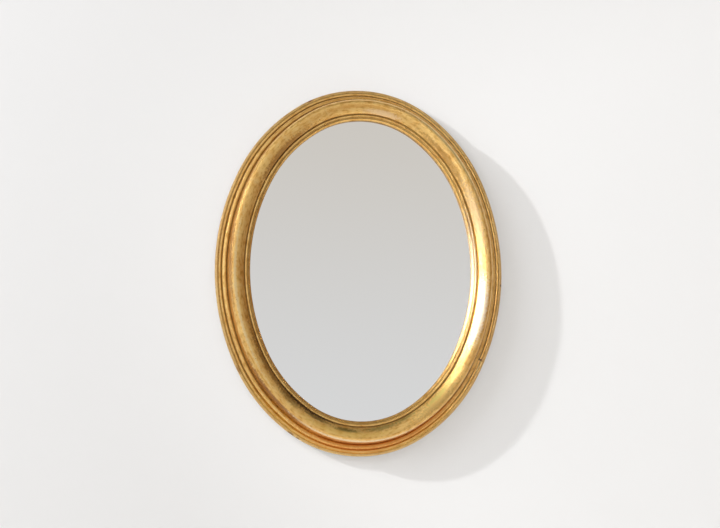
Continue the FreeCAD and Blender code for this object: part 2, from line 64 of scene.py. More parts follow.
class Body(Enum):
    """The bodies of the part that pieces ride on."""

    FRAME = "frame"
    RING = "ring"
    BUTTON_RIGHT = "button_right"
    BUTTON_UPPER_RIGHT = "button_upper_right"
    BUTTON_UPPER_LEFT = "button_upper_left"
    BUTTON_LEFT = "button_left"
    BUTTON_LOWER_LEFT = "button_lower_left"
    BUTTON_LOWER_RIGHT = "button_lower_right"


class Finish(Enum):
    """The finishes of one frame segment, by the place of their material on its mesh."""

    LEAF = 0
    WOOD = 1


# Small tools for colours, nodes and meshes


def linear(colour: str) -> tuple[float, float, float, float]:
    """Turns an sRGB hex colour to linear light.

    Args:
        colour: six hex digits after a hash.

    Returns:
        Red, green, blue and an alpha of one.
    """
    shares = [int(colour[i:i + 2], 16) / 255 for i in (1, 3, 5)]
    light = [s / 12.92 if s <= 0.04045 else ((s + 0.055) / 1.055) ** 2.4 for s in shares]
    return (*light, 1.0)


def add(tree: Tree, kind: str, *values: object, give: str | None = None,
        named: dict[str, object] | None = None, **settings: object) -> Socket | None:
    """Adds one shader node with its settings and links.

    A value that is a socket is linked to its input, and any other one is set on it.

    Args:
        tree: the node tree that takes it.
        kind: the node's type without its ShaderNode prefix.
        values: the values of its inputs in use, in their order.
        give: the name of the output that is wanted, where it isn't the first one in use.
        named: the values of further inputs, by name.
        settings: the node's own options.

    Returns:
        The output, or None where the node has none.
    """
    made = tree.nodes.new("ShaderNode" + kind)
    for option, choice in settings.items():
        setattr(made, option, choice)
    inputs = list(zip((socket for socket in made.inputs if socket.enabled), values))
    inputs += [(made.inputs[name], value) for name, value in (named or {}).items()]
    for socket, value in inputs:
        if isinstance(value, Socket):
            tree.links.new(value, socket)
        else:
            socket.default_value = value
    if give:
        return made.outputs[give]
    return next((socket for socket in made.outputs if socket.enabled), None)


def layered(tree: Tree, base: object, *layers: tuple[Socket, str]) -> Socket:
    """Lays colours over one another.

    Args:
        tree: the node tree that takes them.
        base: the lowest colour, linear or a socket.
        layers: the share and the sRGB hex colour of each further one, from below.

    Returns:
        The colour that shows.
    """
    colour = base
    for share, layer in layers:
        colour = add(tree, "Mix", share, colour, linear(layer), **COLOUR)
    return colour


def new_material(name: str) -> tuple[bpy.types.Material, Tree]:
    """Starts a material and gives it with its empty node tree.

    Args:
        name: the material's name.

    Returns:
        The material and its tree.
    """
    material = bpy.data.materials.new(name)
    material.use_nodes = True
    material.node_tree.nodes.clear()
    return material, material.node_tree


def surface(tree: Tree, looks: dict[str, object], height: Socket | None = None,
            relief: float = 0.0, strength: float = 0.5) -> None:
    """Ends a material with its shader, the relief over it and the output.

    Args:
        tree: the material's tree.
        looks: the values of the shader's inputs, by name.
        height: the height of the relief, from 0 to about 1.
        relief: the depth of the relief, in millimetres.
        strength: how much of the relief shows.
    """
    if height is not None:
        bump = add(tree, "Bump", named={"Strength": strength, "Distance": relief * MM,
                                        "Height": height})
        looks = {**looks, "Normal": bump}
    add(tree, "OutputMaterial", add(tree, "BsdfPrincipled", named=looks))


def finish_mesh(bm: bmesh.types.BMesh, name: str, sharp_degrees: float,
                materials: Iterable[bpy.types.Material]) -> bpy.types.Object:
    """Turns a bmesh into a smooth object with sharp edges where its faces turn sharply.

    Args:
        bm: the finished bmesh, which is freed.
        name: the object's name.
        sharp_degrees: the angle from which an edge stays sharp.
        materials: the object's materials in the order of the faces' indices.

    Returns:
        The object, linked to the scene.
    """
    limit = math.radians(sharp_degrees)
    for face in bm.faces:
        face.smooth = True
    for edge in bm.edges:
        edge.smooth = edge.calc_face_angle(math.pi) < limit
    mesh = bpy.data.meshes.new(name)
    bm.to_mesh(mesh)
    bm.free()
    made = bpy.data.objects.new(name, mesh)
    bpy.context.scene.collection.objects.link(made)
    for material in materials:
        mesh.materials.append(material)
    return made


def put(piece: bpy.types.Object, body: str, slot: str, *nodes: str) -> bpy.types.Object:
    """Lets a piece ride on a body in place of CAD nodes, and logs it.

    Args:
        piece: the finished piece.
        body: the name of the body that carries it.
        slot: not used.
        nodes: the CAD nodes that it takes the place of.

    Returns:
        The piece.
    """
    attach(piece, body)
    if nodes:
        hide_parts(*nodes)
    log.info("%s on %s: %d faces", piece.name, body, len(piece.data.polygons))
    return piece


# The oval and the section of the moulding


@dataclass(frozen=True)
class Arc:
    """One arc of the oval: its centre in the plane of the wall, its radius and its angles."""

    centre_x: float
    centre_z: float
    radius: float
    start: float
    end: float


@dataclass(frozen=True)
class Oval:
    """The outline: a chain of tangent arcs close to an ellipse, sized by the CAD frame.

    A place on it is a normal angle, in degrees from the right-hand end towards the top, and an
    inset from the outermost line.
    """

    half_width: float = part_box("frame_right_segment")[1].x
    half_height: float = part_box("frame_top_segment")[1].z
    joint_angle: float = 25.7
    crown_angle: float = 56.0

    def radii(self) -> tuple[float, float, float]:
        """The radii of the side, middle and crown arcs that close the quarter.

        Returns:
            The three radii, in metres.
        """
        joint, crown = math.radians(self.joint_angle), math.radians(self.crown_angle)
        middle = (self.half_width + self.half_height) / 2
        side_sum = middle * (math.cos(joint) - math.cos(crown)) - self.half_width
        crown_sum = self.half_height + middle * (math.sin(joint) - math.sin(crown))
        divisor = (math.cos(joint) - 1) * (1 - math.sin(crown)) + math.cos(crown) * math.sin(joint)
        side = (side_sum * (1 - math.sin(crown)) + crown_sum * math.cos(crown)) / divisor
        top = (crown_sum * (math.cos(joint) - 1) - side_sum * math.sin(joint)) / divisor
        return side, middle, top

    def arcs(self) -> list[Arc]:
        """The eight arcs of the whole oval, in order of their angles, from the right joint.

        Returns:
            The arcs.
        """
        side, middle, top = self.radii()
        joint, crown = self.joint_angle, self.crown_angle
        reach = side - middle
        x = self.half_width - side + reach * math.cos(math.radians(joint))
        z = reach * math.sin(math.radians(joint))
        lift = self.half_height - top
        return [
            Arc(self.half_width - side, 0.0, side, -joint, joint),
            Arc(x, z, middle, joint, crown),
            Arc(0.0, lift, top, crown, 180 - crown),
            Arc(-x, z, middle, 180 - crown, 180 - joint),
            Arc(side - self.half_width, 0.0, side, 180 - joint, 180 + joint),
            Arc(-x, -z, middle, 180 + joint, 180 + crown),
            Arc(0.0, -lift, top, 180 + crown, 360 - crown),
            Arc(x, -z, middle, 360 - crown, 360 - joint),
        ]

    def arc_at(self, degrees: float) -> Arc:
        """The arc that holds a normal angle."""
        turned = (degrees + self.joint_angle) % 360 - self.joint_angle
        return next(arc for arc in self.arcs() if arc.start - CLOSE <= turned <= arc.end + CLOSE)

    def point(self, degrees: float, inset: float) -> Vector:
        """The point on the wall's plane at a normal angle and an inset.

        Args:
            degrees: the normal angle.
            inset: the way in from the outline, in metres.

        Returns:
            The point, with a y of nought.
        """
        arc = self.arc_at(degrees)
        run = arc.radius - inset
        angle = math.radians(degrees)
        return Vector((arc.centre_x + run * math.cos(angle), 0.0,
                       arc.centre_z + run * math.sin(angle)))

    def angle_of(self, x: float, z: float) -> float:
        """The normal angle, in degrees, of a point near the outline.

        Args:
            x: the point's place to the right, in metres.
            z: its height, in metres.

        Returns:
            The angle, from the lower right joint up.
        """
        for arc in self.arcs():
            found = math.degrees(math.atan2(z - arc.centre_z, x - arc.centre_x))
            turned = (found + self.joint_angle) % 360 - self.joint_angle
            if arc.start <= turned <= arc.end:
                return turned
        return self.joint_angle

    def length_to(self, degrees: float) -> float:
        """The length of the outline from the lower right joint to a normal angle.

        Args:
            degrees: the normal angle.

        Returns:
            The length, in metres.
        """
        turned = (degrees + self.joint_angle) % 360 - self.joint_angle
        length = 0.0
        for arc in self.arcs():
            covered = min(max(turned - arc.start, 0.0), arc.end - arc.start)
            length += arc.radius * math.radians(covered)
        return length


class Pen:
    """Draws a chain of edges in the XY plane of a bmesh: straight runs and arcs."""

    def __init__(self, bm: bmesh.types.BMesh, x: float, y: float) -> None:
        """Puts the pen down at a point, in millimetres.

        Args:
            bm: the bmesh that takes the chain.
            x: the first point's x.
            y: the first point's y.
        """
        self.bm = bm
        self.first = self.tip = bm.verts.new((x * MM, y * MM, 0.0))
        self.verts = [self.first]

    def line(self, x: float, y: float, parts: int = 1) -> "Pen":
        """A straight run to a point, in millimetres, in equal parts.

        Args:
            x: the end's x.
            y: the end's y.
            parts: how many edges the run has.

        Returns:
            The pen.
        """
        start = self.tip.co.copy()
        end = Vector((x * MM, y * MM, 0.0))
        for i in range(parts):
            made = bmesh.ops.extrude_vert_indiv(self.bm, verts=[self.tip])
            self.tip = made["verts"][0]
            self.tip.co = start.lerp(end, (i + 1) / parts)
            self.verts.append(self.tip)
        return self

    def arc(self, x: float, y: float, radius: float, parts: int) -> "Pen":
        """An arc under half a circle to a point; it bulges to the left of its chord.

        Args:
            x: the end's x, in millimetres.
            y: the end's y.
            radius: the arc's radius, in millimetres.
            parts: how many edges the arc has.

        Returns:
            The pen.
        """
        start, end = self.tip.co.copy(), Vector((x * MM, y * MM, 0.0))
        chord = end - start
        half = chord.length / 2
        right = Vector((chord.y, -chord.x, 0.0)).normalized()
        centre = start + chord / 2 + right * math.sqrt(max((radius * MM) ** 2 - half ** 2, 0.0))
        turn = -2 * math.asin(min(half / (radius * MM), 1.0))
        made = bmesh.ops.spin(self.bm, geom=[self.tip], cent=centre, axis=(0, 0, 1),
                              angle=turn, steps=parts, use_duplicate=False)
        self.tip = next(v for v in made["geom_last"] if isinstance(v, bmesh.types.BMVert))
        known = set(self.verts)
        fresh = [v for v in self.bm.verts if v not in known]
        self.verts += sorted(fresh, key=lambda v: (v.co - start).length)
        return self

    def close(self) -> list[bmesh.types.BMVert]:
        """Joins the tip to the first point and gives the chain's points in order.

        Returns:
            The points.
        """
        if (self.tip.co - self.first.co).length < CLOSE:
            bmesh.ops.weld_verts(self.bm, targetmap={self.tip: self.first})
            self.verts.pop()
        else:
            self.bm.edges.new((self.tip, self.first))
        return self.verts


@dataclass(frozen=True)
class Section:
    """The moulding's section, in millimetres: inset from the outer line and height off the back.

    The runs are those of the CAD section. Gesso and leaf round their corners by soft_corner.
    """

    frame_depth: float = 32.0
    edge_recess: float = 1.2
    outer_bead_width: float = 3.6
    outer_bead_height: float = 6.0
    outer_bead_radius: float = 2.8
    groove_width: float = 1.1
    groove_height: float = 8.1
    fillet_width: float = 3.2
    fillet_height: float = 9.6
    fillet_bulge: float = 0.4
    second_bead_width: float = 5.6
    second_bead_outer: float = 9.9
    second_bead_inner: float = 13.4
    second_bead_bulge: float = 1.9
    deep_groove_width: float = 1.2
    deep_groove_height: float = 12.0
    wall_lean: float = 1.2
    shoulder_radius: float = 6.2
    roll_width: float = 20.4
    roll_drop: float = 4.6
    inner_groove_width: float = 1.6
    inner_groove_depth: float = 2.4
    inner_fillet_width: float = 2.9
    inner_fillet_drop: float = 0.6
    bevel_width: float = 3.0
    bevel_drop: float = 1.7
    bevel_fall: float = 2.7
    lip_thickness: float = 3.0
    glass_overlap: float = 8.0
    ledge_width: float = 4.0
    ledge_height: float = 3.3
    soft_corner: float = 0.24
    corner_from: float = 18.0
    hidden_below: float = 0.5
    back_gap: float = 6.0

    @staticmethod
    def bulge_radius(run: float, rise: float, bulge: float) -> float:
        """The radius of an arc that stands off its chord by the bulge."""
        return ((run ** 2 + rise ** 2) / 4 + bulge ** 2) / (2 * bulge)

    @property
    def roll_start(self) -> float:
        """The inset where the big roll's wall leaves the deep groove."""
        return (self.outer_bead_width + 2 * self.groove_width + self.fillet_width
                + self.second_bead_width + self.deep_groove_width)

    @property
    def crest(self) -> float:
        """The inset of the highest line."""
        return (self.roll_start - self.deep_groove_width / 2 + self.wall_lean
                + self.shoulder_radius)

    @property
    def roll_end(self) -> float:
        """The inset where the big roll ends."""
        return self.roll_start + self.roll_width

    @property
    def sight(self) -> float:
        """The inset of the sight edge, where the glass starts to show."""
        return (self.roll_end + 2 * self.inner_groove_width + self.inner_fillet_width
                + self.bevel_width)

    @property
    def glass_seat(self) -> float:
        """The height of the lip's underside, on which the glass lies."""
        return (self.frame_depth - self.roll_drop - self.bevel_drop - self.bevel_fall
                - self.lip_thickness)

    def draw(self, bm: bmesh.types.BMesh) -> list[bmesh.types.BMVert]:
        """Draws the closed section with x as minus the inset and y as minus the height.

        Args:
            bm: the bmesh that takes it.

        Returns:
            Its points in order, from the back's outer corner up over the front.
        """
        bead, recess = self.outer_bead_radius, self.edge_recess
        below = math.sqrt(2 * bead * recess - recess ** 2)
        above = math.sqrt(bead ** 2 - (self.outer_bead_width - bead) ** 2)
        pen = Pen(bm, -recess, 0.0)

        def line(inset: float, height: float, parts: int = 1) -> None:
            """A straight run to a place on the section."""
            pen.line(-inset, -height, parts)

        def arc(inset: float, height: float, radius: float, parts: int) -> None:
            """A convex run to a place on the section."""
            pen.arc(-inset, -height, radius, parts)

        line(recess, self.outer_bead_height - below, 2)
        arc(self.outer_bead_width, self.outer_bead_height + above, bead, 10)
        at = self.outer_bead_width + self.groove_width
        line(at - self.groove_width / 2, self.groove_height, 2)
        line(at, self.fillet_height, 2)
        arc(at + self.fillet_width, self.fillet_height,
            self.bulge_radius(self.fillet_width, 0.0, self.fillet_bulge), 6)
        at += self.fillet_width + self.groove_width
        line(at - self.groove_width / 2, self.groove_height, 2)
        line(at, self.second_bead_outer, 2)
        rise = self.second_bead_inner - self.second_bead_outer
        arc(at + self.second_bead_width, self.second_bead_inner,
            self.bulge_radius(self.second_bead_width, rise, self.second_bead_bulge), 12)
        line(self.roll_start - self.deep_groove_width / 2, self.deep_groove_height, 2)
        line(self.crest - self.shoulder_radius, self.frame_depth - self.shoulder_radius, 10)
        arc(self.crest, self.frame_depth, self.shoulder_radius, 12)
        run = self.roll_end - self.crest
        arc(self.roll_end, self.frame_depth - self.roll_drop,
            (run ** 2 + self.roll_drop ** 2) / (2 * self.roll_drop), 14)
        edge = self.frame_depth - self.roll_drop
        at = self.roll_end + self.inner_groove_width
        line(at - self.inner_groove_width / 2, edge - self.inner_groove_depth, 3)
        line(at, edge - self.inner_fillet_drop, 3)
        arc(at + self.inner_fillet_width, edge - self.inner_fillet_drop,
            self.bulge_radius(self.inner_fillet_width, 0.0, self.fillet_bulge), 6)
        at += self.inner_fillet_width + self.inner_groove_width
        line(at - self.inner_groove_width / 2, edge - self.inner_groove_depth, 3)
        line(at, edge - self.bevel_drop, 2)
        line(self.sight, edge - self.bevel_drop - self.bevel_fall, 5)
        line(self.sight, self.glass_seat, 2)
        line(self.sight - self.glass_overlap, self.glass_seat)
        line(self.sight - self.glass_overlap, self.ledge_height, 2)
        line(self.sight - self.glass_overlap - self.ledge_width, self.ledge_height)
        line(self.sight - self.glass_overlap - self.ledge_width, 0.0)
        return pen.close()

    def soften(self, bm: bmesh.types.BMesh,
               loop: list[bmesh.types.BMVert]) -> list[bmesh.types.BMVert]:
        """Rounds the corners that show, as gesso does.

        Args:
            bm: the bmesh that holds the closed section.
            loop: the section's points in order.

        Returns:
            The new points in order, from the same first point.
        """
        corners = []
        for before, vert, after in zip(loop[-1:] + loop, loop, loop[1:] + loop[:1]):
            turn = (vert.co - before.co).angle(after.co - vert.co)
            if math.degrees(turn) > self.corner_from and -vert.co.y > self.hidden_below * MM:
                corners.append(vert)
        first = loop[0]
        bmesh.ops.bevel(bm, geom=corners, offset=self.soft_corner * MM, offset_type="OFFSET",
                        segments=2, profile=0.5, affect="VERTICES", material=-1)
        walked = [first]
        step = max((edge.other_vert(first) for edge in first.link_edges), key=lambda v: v.co.x)
        while step is not first:
            walked.append(step)
            step = next(vert for vert in (edge.other_vert(step) for edge in step.link_edges)
                        if vert is not walked[-2])
        return walked


# Finishes: each is one real material, named for what it is and how its surface was made


@dataclass(frozen=True)
class Mark:
    """One patch or band on the leaf. A few are rubs and grime; most are painted highlights and
    painted shade.

    It has a normal angle in degrees, an inset, half its length and half its width in millimetres,
    and how much of its colour shows.
    """

    degrees: float
    inset: float
    half_length: float
    half_width: float
    colour: str
    share: float


@dataclass(frozen=True)
class LeafPlace:
    """What the leaf's nodes read at a point of the moulding.

    The spot is its section map, across and along in metres, and along is the second of them.
    Openness is the share of the half circle above that it sees, crest how sharply the section
    turns, inset the way in from the outer line in millimetres, and crack marks a break. Mottle
    and ragged are noises.
    """

    spot: Socket
    along: Socket
    openness: Socket
    crest: Socket
    inset: Socket
    crack: Socket
    mottle: Socket
    ragged: Socket


@dataclass(frozen=True)
class GoldLeaf:
    """Gold leaf laid over red bole on gesso, burnished, toned with umber and sealed with shellac.

    The leaf is a metal a few tenths of a micron thick, so it takes the sheen of the polished
    clay: soft reflections that run along the moulding, broken by laps, rubs and dirt. Wear
    shows the red bole on the crests, and the umber wash stays in the hollows, but for two
    lit places, where it is mostly left out as painted light. The crests are painted paler as a
    painted highlight, and most marks are painted highlights and painted shade. Sizes are in
    millimetres, but for the two lit places, in metres, and the laps, in leaves.
    """

    oval: Oval
    bright: str = "#FDD07A"
    deep: str = "#EDB55C"
    pale: str = "#FDDC96"
    umber: str = "#6B3D12"
    # The colour of the painted highlight on the crests.
    crest_highlight: str = "#FFEA9C"
    wash: str = "#B98A3C"
    bole: str = "#A9521F"
    bead_grey: str = "#D8BC8A"
    cloud_size: float = 26.0
    mottle_size: float = 2.6
    mottle_along: float = 0.28
    ragged_size: float = 3.2
    grain_size: float = 0.9
    leaf_side: float = 80.0
    lap: float = 0.05
    lap_soft: float = 0.005
    lap_wander: float = 0.1
    bead: tuple[float, float] = (4.0, 2.6)
    scratch_pitch: float = 1.9
    scratch_wander: float = 9.0
    dot_pitch: float = 8.0
    # Where the hollows are kept light as painted light: the reach at the bottom and on the right,
    # in metres, and the share of umber kept there.
    lit_bottom: tuple[float, float] = (-0.12, -0.21)
    lit_right: tuple[float, float] = (0.14, 0.158)
    umber_kept_where_lit: float = 0.12
    fray: float = 1.6
    roughness: float = 0.34
    dull_roughness: float = 0.55
    coat: float = 0.5
    coat_roughness: float = 0.3
    relief: float = 0.06
    marks: tuple[Mark, ...] = (
        # Painted highlight on the right-hand slope, and painted shade below it
        Mark(350.0, 27.5, 62.0, 8.0, "#FFF2DC", 0.8),
        Mark(317.0, 27.0, 60.0, 10.0, "#CBA862", 0.85),
        # Olive patches low on the slope: thin, dull leaf, with painted shade of the dark
        # reflection there
        Mark(318.0, 31.0, 30.0, 4.0, "#B5AC58", 0.6),
        Mark(300.0, 34.5, 26.0, 3.2, "#A29A55", 0.5),
        Mark(263.0, 30.5, 26.0, 3.4, "#6F6A33", 0.8),
        Mark(243.0, 33.5, 30.0, 3.6, "#6E6032", 0.7),
        Mark(228.0, 31.0, 30.0, 6.0, "#7C6A38", 0.5),
        # Rubs on the outer edge, and grime round the break
        Mark(118.0, 1.0, 5.0, 2.2, "#8C3A1C", 0.8),
        Mark(237.0, 0.6, 6.0, 1.5, "#6B3A20", 0.7),
        Mark(241.0, 0.4, 2.6, 1.3, "#6B3A20", 0.7),
        Mark(208.0, 2.0, 9.0, 2.0, "#8C4A22", 0.5),
        Mark(358.6, 1.2, 2.0, 1.6, "#5B3218", 0.85),
        Mark(338.5, 6.4, 1.3, 4.2, "#3A2212", 0.95),
        # Painted light and shade at the bottom and at the left: a warm painted reflection on the
        # lower lines, brown painted shade on the roll's wall and slope, and painted highlights on
        # the left crest and the bottom groove
        Mark(266.0, 6.5, 95.0, 5.0, "#FFC070", 0.5),
        Mark(284.0, 12.5, 165.0, 5.0, "#DB8A38", 0.7),
        Mark(180.0, 18.0, 85.0, 2.3, "#A56B34", 0.65),
        Mark(224.0, 16.9, 85.0, 2.0, "#85481C", 0.8),
        Mark(268.0, 17.4, 120.0, 1.8, "#FFE3B8", 0.85),
        Mark(190.0, 23.4, 150.0, 2.6, "#FFE9B4", 0.65),
        Mark(214.0, 34.5, 110.0, 4.4, "#8C6626", 0.6),
        Mark(262.0, 25.5, 95.0, 5.0, "#EFCB6C", 0.5),
        Mark(236.0, 36.6, 75.0, 2.6, "#46301A", 0.8),
        # Painted highlights and painted shade from the right over the top to the left: pale
        # highlight bands on the shoulder and the slope, darker bands in the deep groove and down
        # the slopes
        Mark(38.0, 32.0, 80.0, 4.5, "#B98848", 0.6),
        Mark(40.0, 20.0, 120.0, 2.4, "#FFF0B4", 0.7),
        Mark(17.0, 30.0, 75.0, 8.0, "#D2B48A", 0.75),
        Mark(4.0, 41.5, 110.0, 5.0, "#DCC6A6", 0.8),
        Mark(68.0, 13.9, 200.0, 1.9, "#563C14", 0.85),
        Mark(80.0, 32.4, 40.0, 4.6, "#FFE0B6", 0.75),
        Mark(92.0, 11.8, 150.0, 2.6, "#F3B95C", 0.5),
        Mark(94.0, 26.0, 90.0, 3.4, "#DDA048", 0.55),
        Mark(142.0, 34.0, 80.0, 5.0, "#9A6424", 0.65),
        # One more olive patch of painted shade, over the bands
        Mark(284.0, 33.0, 34.0, 4.0, "#8F8A4A", 0.5),
    )

    def read(self, tree: Tree) -> LeafPlace:
        """Adds the nodes that read the section map, the attributes and the two noises.

        Args:
            tree: the material's tree.

        Returns:
            Their outputs.
        """
        spot = add(tree, "UVMap", uv_map="Moulding")
        drawn = add(tree, "Mapping", spot, named={"Scale": (1.0, self.mottle_along, 1.0)})
        measured = {name: add(tree, "Attribute", give="Fac", attribute_name=name)
                    for name in ("openness", "crest", "inset", "crack")}
        return LeafPlace(
            spot=spot, along=add(tree, "SeparateXYZ", spot, give="Y"),
            mottle=add(tree, "TexNoise", drawn, 1 / (self.mottle_size * MM), 5.0),
            ragged=add(tree, "TexNoise", spot, 1 / (self.ragged_size * MM), 4.0), **measured)

    def leaf_share(self, tree: Tree, at: LeafPlace) -> Socket:
        """How far along its own leaf a place lies, from 0 to 1; the laps wander a little.

        Args:
            tree: the material's tree.
            at: what is read at a place of the moulding.

        Returns:
            The share.
        """
        wander = add(tree, "Math", at.ragged, self.lap_wander, operation="MULTIPLY")
        leaves = add(tree, "Math", at.along, 1 / (self.leaf_side * MM), wander,
                     operation="MULTIPLY_ADD")
        return add(tree, "Math", leaves, operation="FRACT")

    def metal(self, tree: Tree, at: LeafPlace, share: Socket) -> Socket:
        """The clean leaf's colour: cloudy and mottled, paler at laps, grey on the bead, and
        painted paler on the crests as a painted highlight.

        Args:
            tree: the material's tree.
            at: what is read at a place.
            share: how far along its own leaf it lies.

        Returns:
            The colour.
        """
        cloud = add(tree, "TexNoise", at.spot, 1 / (self.cloud_size * MM), 2.0)
        return layered(
            tree, linear(self.deep),
            (add(tree, "MapRange", cloud, 0.34, 0.66, **SMOOTH), self.bright),
            (add(tree, "MapRange", at.mottle, 0.34, 0.7, 0.0, 0.6, **SMOOTH), self.pale),
            (add(tree, "MapRange", share, self.lap + self.lap_soft, self.lap - self.lap_soft,
                 0.0, 0.2, **SMOOTH), self.pale),
            (add(tree, "MapRange", at.mottle, 0.52, 0.3, 0.0, 0.5, **SMOOTH), self.wash),
            # Painted highlight: the crests are painted paler and yellower.
            (add(tree, "MapRange", at.crest, 0.05, 0.16, 0.0, 0.9, **SMOOTH), self.crest_highlight),
            (add(tree, "MapRange", at.inset, *self.bead, 0.0, 0.4, **SMOOTH), self.bead_grey))

    def rubbed_through(self, tree: Tree, at: LeafPlace) -> Socket:
        """How far the crests are worn through to the bole, short of the inner fillets.

        Args:
            tree: the material's tree.
            at: what is read at a place of the moulding.

        Returns:
            The share of bole that shows.
        """
        worn = add(tree, "MapRange", at.crest, 0.35, 0.8, 0.0, 0.65, **SMOOTH)
        for value, low, high in ((at.ragged, 0.52, 0.64), (at.inset, 34.0, 30.0)):
            held = add(tree, "MapRange", value, low, high, **SMOOTH)
            worn = add(tree, "Math", worn, held, operation="MULTIPLY")
        return worn

    def scratches(self, tree: Tree, at: LeafPlace) -> Socket:
        """Fine scratches across the outer bead.

        Args:
            tree: the material's tree.
            at: what is read at a place of the moulding.

        Returns:
            The share of umber in them.
        """
        wander = add(tree, "Math", at.ragged, self.scratch_wander, operation="MULTIPLY")
        turn = add(tree, "Math", at.along, 2 * math.pi / (self.scratch_pitch * MM), wander,
                   operation="MULTIPLY_ADD")
        wave = add(tree, "Math", turn, operation="SINE")
        cut = add(tree, "MapRange", wave, 0.1, 0.9, 0.0, 0.224, **SMOOTH)
        on_bead = add(tree, "MapRange", at.inset, *self.bead, **SMOOTH)
        return add(tree, "Math", cut, on_bead, operation="MULTIPLY")

    def spatter(self, tree: Tree, at: LeafPlace) -> Socket:
        """Dots of umber that flew off the brush.

        Args:
            tree: the material's tree.
            at: what is read at a place of the moulding.

        Returns:
            The share of umber in them.
        """
        away = add(tree, "TexVoronoi", at.spot, 1 / (self.dot_pitch * MM))
        chosen = add(tree, "SeparateColor", away.node.outputs["Color"])
        dot = add(tree, "MapRange", away, 0.1, 0.05, 0.0, 0.7, **SMOOTH)
        kept = add(tree, "MapRange", chosen, 0.45, 0.5, **SMOOTH)
        return add(tree, "Math", dot, kept, operation="MULTIPLY")

    def lap_edge(self, tree: Tree, share: Socket) -> Socket:
        """A thin line of umber along the edge of each lap.

        Args:
            tree: the material's tree.
            share: how far along its own leaf a place lies.

        Returns:
            The share of umber in it.
        """
        near = add(tree, "MapRange", share, self.lap - 0.007, self.lap, 0.0, 0.1, **SMOOTH)
        far = add(tree, "MapRange", share, self.lap + 0.012, self.lap + 0.004, **SMOOTH)
        return add(tree, "Math", near, far, operation="MULTIPLY")

    def hollows(self, tree: Tree, at: LeafPlace) -> Socket:
        """The umber that stays in the hollows, mostly left out at the bottom and on the right-hand
        slope as painted light.

        Args:
            tree: the material's tree.
            at: what is read at a place of the moulding.

        Returns:
            The share of umber.
        """
        closed = add(tree, "MapRange", at.openness, 0.75, 0.4, 0.0, 0.5, **SMOOTH)
        corner = add(tree, "MapRange", at.crest, -0.12, -0.5, 0.0, 0.85, **SMOOTH)
        umber = add(tree, "Math", closed, corner, operation="MAXIMUM")
        x, _, z = add(tree, "SeparateXYZ", add(tree, "TexCoord", give="Object")).node.outputs
        # Painted light: little umber is kept in the hollows at the bottom and on the right-hand
        # slope, where the leaf is lit.
        places = []
        for value, reach, insets in ((z, self.lit_bottom, (30.0, 20.0)),
                                     (x, self.lit_right, (30.0, 36.0))):
            there = add(tree, "MapRange", value, *reach, **SMOOTH)
            across = add(tree, "MapRange", at.inset, *insets, **SMOOTH)
            places.append(add(tree, "Math", there, across, operation="MULTIPLY"))
        lit_share = add(tree, "Math", *places, operation="MAXIMUM")
        kept_share = add(tree, "MapRange", lit_share, 0.0, 1.0, 1.0, self.umber_kept_where_lit, **SMOOTH)
        uneven = add(tree, "MapRange", at.ragged, 0.2, 0.6, 0.75, 1.0, **SMOOTH)
        for part in (kept_share, uneven):
            umber = add(tree, "Math", umber, part, operation="MULTIPLY")
        return umber

    def mark_mask(self, tree: Tree, at: LeafPlace, mark: Mark) -> Socket:
        """How much of a mark's colour lies at a place: an oval patch with a frayed rim.

        Args:
            tree: the material's tree.
            at: what is read at a place of the moulding.
            mark: the patch or band.

        Returns:
            Its share of the colour, from 0 to the mark's own share.
        """
        middle = self.oval.length_to(mark.degrees)
        run = add(tree, "MapRange", at.along, middle, middle + mark.half_length * MM, clamp=False)
        side = add(tree, "MapRange", at.inset, mark.inset, mark.inset + mark.half_width,
                   clamp=False)
        reach = add(tree, "VectorMath", add(tree, "CombineXYZ", run, side), operation="LENGTH")
        frayed = add(tree, "Math", at.ragged, self.fray, reach, operation="MULTIPLY_ADD")
        outer, inner = 1.1 + self.fray / 2, 0.35 + self.fray / 2
        return add(tree, "MapRange", frayed, outer, inner, 0.0, mark.share, **SMOOTH)

    def material(self) -> bpy.types.Material:
        """Builds the material: clean leaf, rubs, marks of grime, painted highlight and painted
        shade, and umber, one over the other.

        Returns:
            The material.
        """
        material, tree = new_material("burnished_gold_leaf_on_red_bole")
        at = self.read(tree)
        share = self.leaf_share(tree, at)
        worn = self.rubbed_through(tree, at)
        umber = self.hollows(tree, at)
        for other in (self.spatter(tree, at), self.lap_edge(tree, share),
                      self.scratches(tree, at),
                      add(tree, "MapRange", at.crack, 0.55, 0.8, **SMOOTH)):
            umber = add(tree, "Math", umber, other, operation="MAXIMUM")
        marks = [(self.mark_mask(tree, at, mark), mark.colour) for mark in self.marks]
        colour = layered(tree, self.metal(tree, at, share), (worn, self.bole), *marks,
                         (umber, self.umber))
        dull = add(tree, "Math", umber, worn, operation="MAXIMUM")
        sheen = add(tree, "MapRange", at.mottle, 0.3, 0.7, self.roughness - 0.05,
                    self.roughness + 0.07, **SMOOTH)
        grain = add(tree, "TexNoise", at.spot, 1 / (self.grain_size * MM), 2.0)
        height = add(tree, "Math", grain, 0.35, at.mottle, operation="MULTIPLY_ADD")
        height = add(tree, "Math", umber, -2.0, height, operation="MULTIPLY_ADD")
        surface(tree, {
            "Base Color": colour,
            "Metallic": add(tree, "MapRange", dull, 0.0, 1.0, 1.0, 0.35, **SMOOTH),
            "Roughness": add(tree, "Mix", dull, sheen, self.dull_roughness, data_type="FLOAT"),
            "Coat Weight": self.coat, "Coat Roughness": self.coat_roughness}, height, self.relief)
        return material


